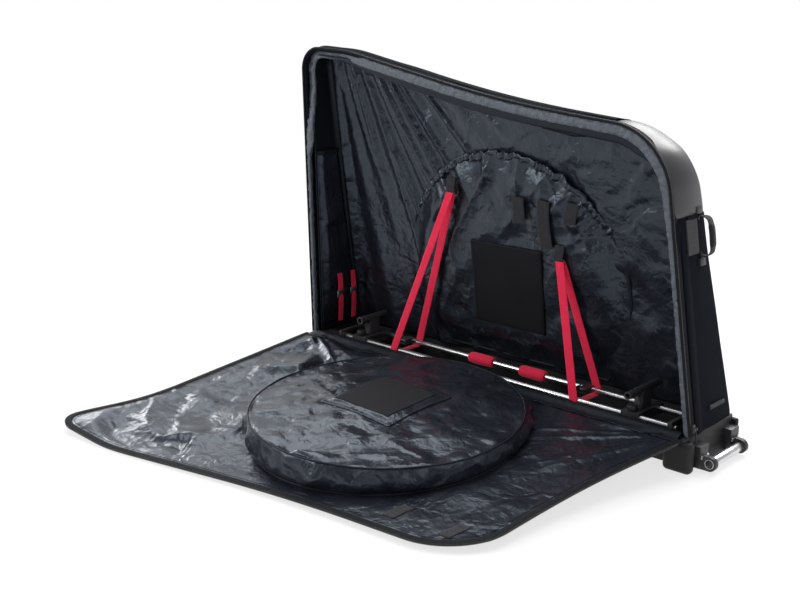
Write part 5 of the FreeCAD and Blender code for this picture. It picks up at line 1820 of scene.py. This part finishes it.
@dataclass
class GrabHandles:
    """The webbing grab handles on the end walls, a sewn patch beside each, and a plain label."""

    height: float = 0.548
    reach: float = 0.040
    half: float = 0.046
    axis: float = 0.007
    width: float = 0.024
    patch: tuple = (0.050, 0.084)
    patch_shift: float = -0.038
    patch_lift: float = 0.003
    sewn_inset: float = -0.0105
    sewn_thick: float = 0.0030
    label: tuple = (0.072, 0.010)
    label_spot: tuple = (0.018, 0.137)

    def sew(self, name: str, end: str, size: tuple, across: float, height: float) -> None:
        """Sew a flat piece of webbing on an end wall.

        Args:
            name: the piece's name.
            end: which end wall.
            size: its width and height.
            across: Y of its middle.
            height: Z of its middle.
        """
        y, up = np.meshgrid(np.linspace(-0.5, 0.5, 12) * size[0], np.linspace(-0.5, 0.5, 18) * size[1],
                            indexing="ij")
        sign = 1 if end == "right" else -1
        place = OUTLINE.crossing(height, end == "right") - up * sign
        spot, _ = OUTLINE.at(place.ravel(), self.sewn_inset)
        points = xyz(spot[:, 0], (across + y).ravel(), spot[:, 1]).reshape(*y.shape, 3)
        piece = cloth(name, points, self.sewn_thick, (sign, 0, 0), BLACK_WEB, BLACK_WEB)
        dress(piece, "case", "webbing_black")

    def wall_frame(self, end: str) -> tuple[np.ndarray, np.ndarray, np.ndarray]:
        """Find a handle's place on its end wall.

        Args:
            end: which end wall.

        Returns:
            The middle point, and the outward and upward directions there.
        """
        place = OUTLINE.crossing(self.height, end == "right")
        spot, outward = OUTLINE.at(np.array([place]))
        out = np.array((outward[0, 0], 0.0, outward[0, 1]))
        up = np.array((-out[2], 0.0, out[0])) * (1 if end == "right" else -1)
        return np.array((spot[0, 0], 0.0, spot[0, 1])), out, up

    def build(self) -> None:
        """Make a looped webbing handle with a padded grip and a patch at each end, and the label."""
        low = [(self.axis, -self.half, 0), (0.024, -self.half - 0.001, 0), (0.036, -0.040, 0),
               (self.reach, -0.024, 0)]
        high = [(far, -side, 0) for far, side, _ in reversed(low)]
        flat = smooth_path([*low, (self.reach + 0.001, 0, 0), *high], 70)
        for end in ("left", "right"):
            middle, out, up = self.wall_frame(end)
            path = middle + flat[:, 0:1] * out + flat[:, 1:2] * up
            grip = 1 - ease(np.abs(flat[:, 1]), 0.020, 0.034)
            ring = oval(1.0, 1.0, 20, 3.0)[None].repeat(70, axis=0)
            taper = self.width * (0.45 + 0.55 * ease(flat[:, 0], 0.012, 0.030))
            ring[..., 0] *= (taper - 0.009 * grip)[:, None]
            ring[..., 1] *= (0.0036 + 0.0100 * grip)[:, None]
            piece = tube(f"handle_webbing_{end}", sweep(path, (0, 1, 0), ring), BLACK_WEB)
            dress(piece, f"handle_{end}", "webbing_black", f"grab_handle_{end}")
            height = self.height + self.patch_lift
            self.sew(f"handle_patch_{end}", end, self.patch, self.patch_shift, height)
        self.sew("wall_label", "right", self.label, *self.label_spot)


# Floor, light and camera


@dataclass
class Studio:
    """The pale floor, the soft light and the camera."""

    target: tuple = (-0.194, -0.200, 0.2876)
    azimuth: float = 42.53
    elevation: float = 15.42
    distance: float = 3.1942
    focal_pixels: float = 1168.88
    image_width: int = 800
    sensor: float = 36.0
    floor_size: float = 400.0
    floor_glow: tuple = (0.72, 1.0)
    glow_reach: tuple = (1.2, 4.5)
    sky: tuple = (-0.55, 0.66, 0.50)
    sky_facing: tuple = (-0.5, 0.9)
    sky_strength: tuple = (0.10, 0.75)
    lamps: tuple = (("top_light", (-0.3, 0.3, 3.4), (0, -0.2, 0.2), (3.2, 2.4), 75),
                    ("front_light", (-2.3, -3.1, 2.1), (0, -0.2, 0.3), (1.8, 1.8), 60),
                    ("side_light", (3.2, -0.6, 2.2), (0.5, 0, 0.4), (1.6, 1.6), 12),
                    ("fill_light", (2.6, -4.2, 1.9), (0, -0.5, 0.2), (2.2, 1.6), 24),
                    ("back_left_light", (-2.5, 1.1, 3.2), (-0.45, -0.6, 0.05), (1.8, 1.8), 30),
                    ("tip_light", (-3.3, 0.25, 1.25), (-0.65, -0.85, 0.05), (0.9, 0.9), 26),
                    ("back_light", (0.2, 3.0, 3.1), (0.5, 0, 0.75), (2.6, 2.0), 120))

    def build_camera(self) -> None:
        """Set the camera at the photograph's viewing angle."""
        turn, lift = math.radians(self.azimuth), math.radians(self.elevation)
        back = Vector((math.sin(turn) * math.cos(lift), -math.cos(turn) * math.cos(lift), math.sin(lift)))
        data = bpy.data.cameras.new("camera")
        data.sensor_width = self.sensor
        data.lens = self.sensor * self.focal_pixels / self.image_width
        data.clip_end = 100.0
        camera = bpy.data.objects.new("camera", data)
        camera.location = Vector(self.target) + back * self.distance
        camera.rotation_mode = "QUATERNION"
        camera.rotation_quaternion = (-back).to_track_quat("-Z", "Y")
        bpy.context.collection.objects.link(camera)
        bpy.context.scene.camera = camera

    def build_floor(self) -> None:
        """Lay a wide pale floor."""
        floor = primitive(bpy.ops.mesh.primitive_plane_add, "floor", size=self.floor_size)
        made = bpy.data.materials.new("pale_floor")
        made.use_nodes = True
        board = Board(made.node_tree)
        shader = made.node_tree.nodes["Principled BSDF"]
        shader.inputs["Roughness"].default_value = 0.9
        shader.inputs["Specular IOR Level"].default_value = 0.1
        places = board.add("TexCoord").outputs["Object"]
        speck = board.add("TexNoise", {"Vector": places, "Scale": 3.0})
        pale, paler = (0.90, 0.90, 0.90, 1), (0.93, 0.93, 0.93, 1)
        tone = board.add("Mix", {0: speck.outputs["Fac"], 6: pale, 7: paler}, data_type="RGBA")
        made.node_tree.links.new(tone.outputs[2], shader.inputs["Base Color"])
        glow = board.add("Emission", {"Color": (1.0, 1.0, 1.0, 1.0), "Strength": 1.0})
        away = board.add("VectorMath", {0: places}, operation="LENGTH").outputs["Value"]
        (near, far), (dim, full) = self.glow_reach, self.floor_glow
        level = board.add("MapRange", {"Value": away, "From Min": near, "From Max": far, "To Min": dim,
                                       "To Max": full}, interpolation_type="SMOOTHSTEP").outputs[0]
        share = board.math("MULTIPLY", self.plain_view(board), level)
        mixed = board.add("MixShader", {0: share, 1: shader.outputs[0], 2: glow.outputs[0]})
        output = made.node_tree.nodes["Material Output"]
        made.node_tree.links.new(mixed.outputs[0], output.inputs["Surface"])
        floor.data.materials.append(made)

    @staticmethod
    def plain_view(board: Board) -> bpy.types.NodeSocket:
        """Tell looking at the background from being lit by it.

        Args:
            board: the tree that is being wired.

        Returns:
            A socket that is 1 where the background is looked at, and 0 where it only lights the scene.
        """
        path = board.add("LightPath")
        clear = board.math("MAXIMUM", path.outputs["Is Camera Ray"], path.outputs["Is Transmission Ray"])
        return board.math("MAXIMUM", clear, path.outputs["Is Glossy Ray"])

    def build_world(self) -> None:
        """Surround the scene with soft white light that is strongest from behind the case's left end."""
        world = bpy.data.worlds.new("studio")
        world.use_nodes = True
        bpy.context.scene.world = world
        board = Board(world.node_tree)
        way = board.add("TexCoord").outputs["Generated"]
        facing = board.vector("DOT_PRODUCT", way, self.sky).outputs["Value"]
        (least, most), (dim, full) = self.sky_facing, self.sky_strength
        strength = board.add("MapRange", {"Value": facing, "From Min": least, "From Max": most,
                                          "To Min": dim, "To Max": full}).outputs[0]
        ground = world.node_tree.nodes["Background"]
        world.node_tree.links.new(strength, ground.inputs["Strength"])
        ground.inputs["Color"].default_value = (1.0, 1.0, 1.0, 1.0)

    @staticmethod
    def lamp(name: str, place: Sequence[float], aim: Sequence[float], size: tuple, power: float) -> None:
        """Hang one soft area lamp.

        Args:
            name: the lamp's name.
            place: where it hangs.
            aim: the point that it faces.
            size: its width and height.
            power: its watts.
        """
        data = bpy.data.lights.new(name, "AREA")
        data.shape = "RECTANGLE"
        data.size, data.size_y = size
        data.energy = power
        lamp = bpy.data.objects.new(name, data)
        lamp.location = place
        lamp.rotation_mode = "QUATERNION"
        lamp.rotation_quaternion = (Vector(aim) - Vector(place)).to_track_quat("-Z", "Y")
        bpy.context.collection.objects.link(lamp)

    def build(self) -> None:
        """Build the whole studio."""
        self.build_camera()
        self.build_floor()
        self.build_world()
        for row in self.lamps:
            self.lamp(*row)
        bpy.context.scene.view_settings.view_transform = "Standard"


def main() -> None:
    """Build every part of the case in order."""
    logging.basicConfig(level=logging.INFO, format="%(message)s")
    for part in (Studio(), CaseShell(), InnerPockets(), Flap(), HardPieces(), Straps(), GrabHandles()):
        LOG.info("building %s", type(part).__name__)
        part.build()


if __name__ == "__main__":
    main()
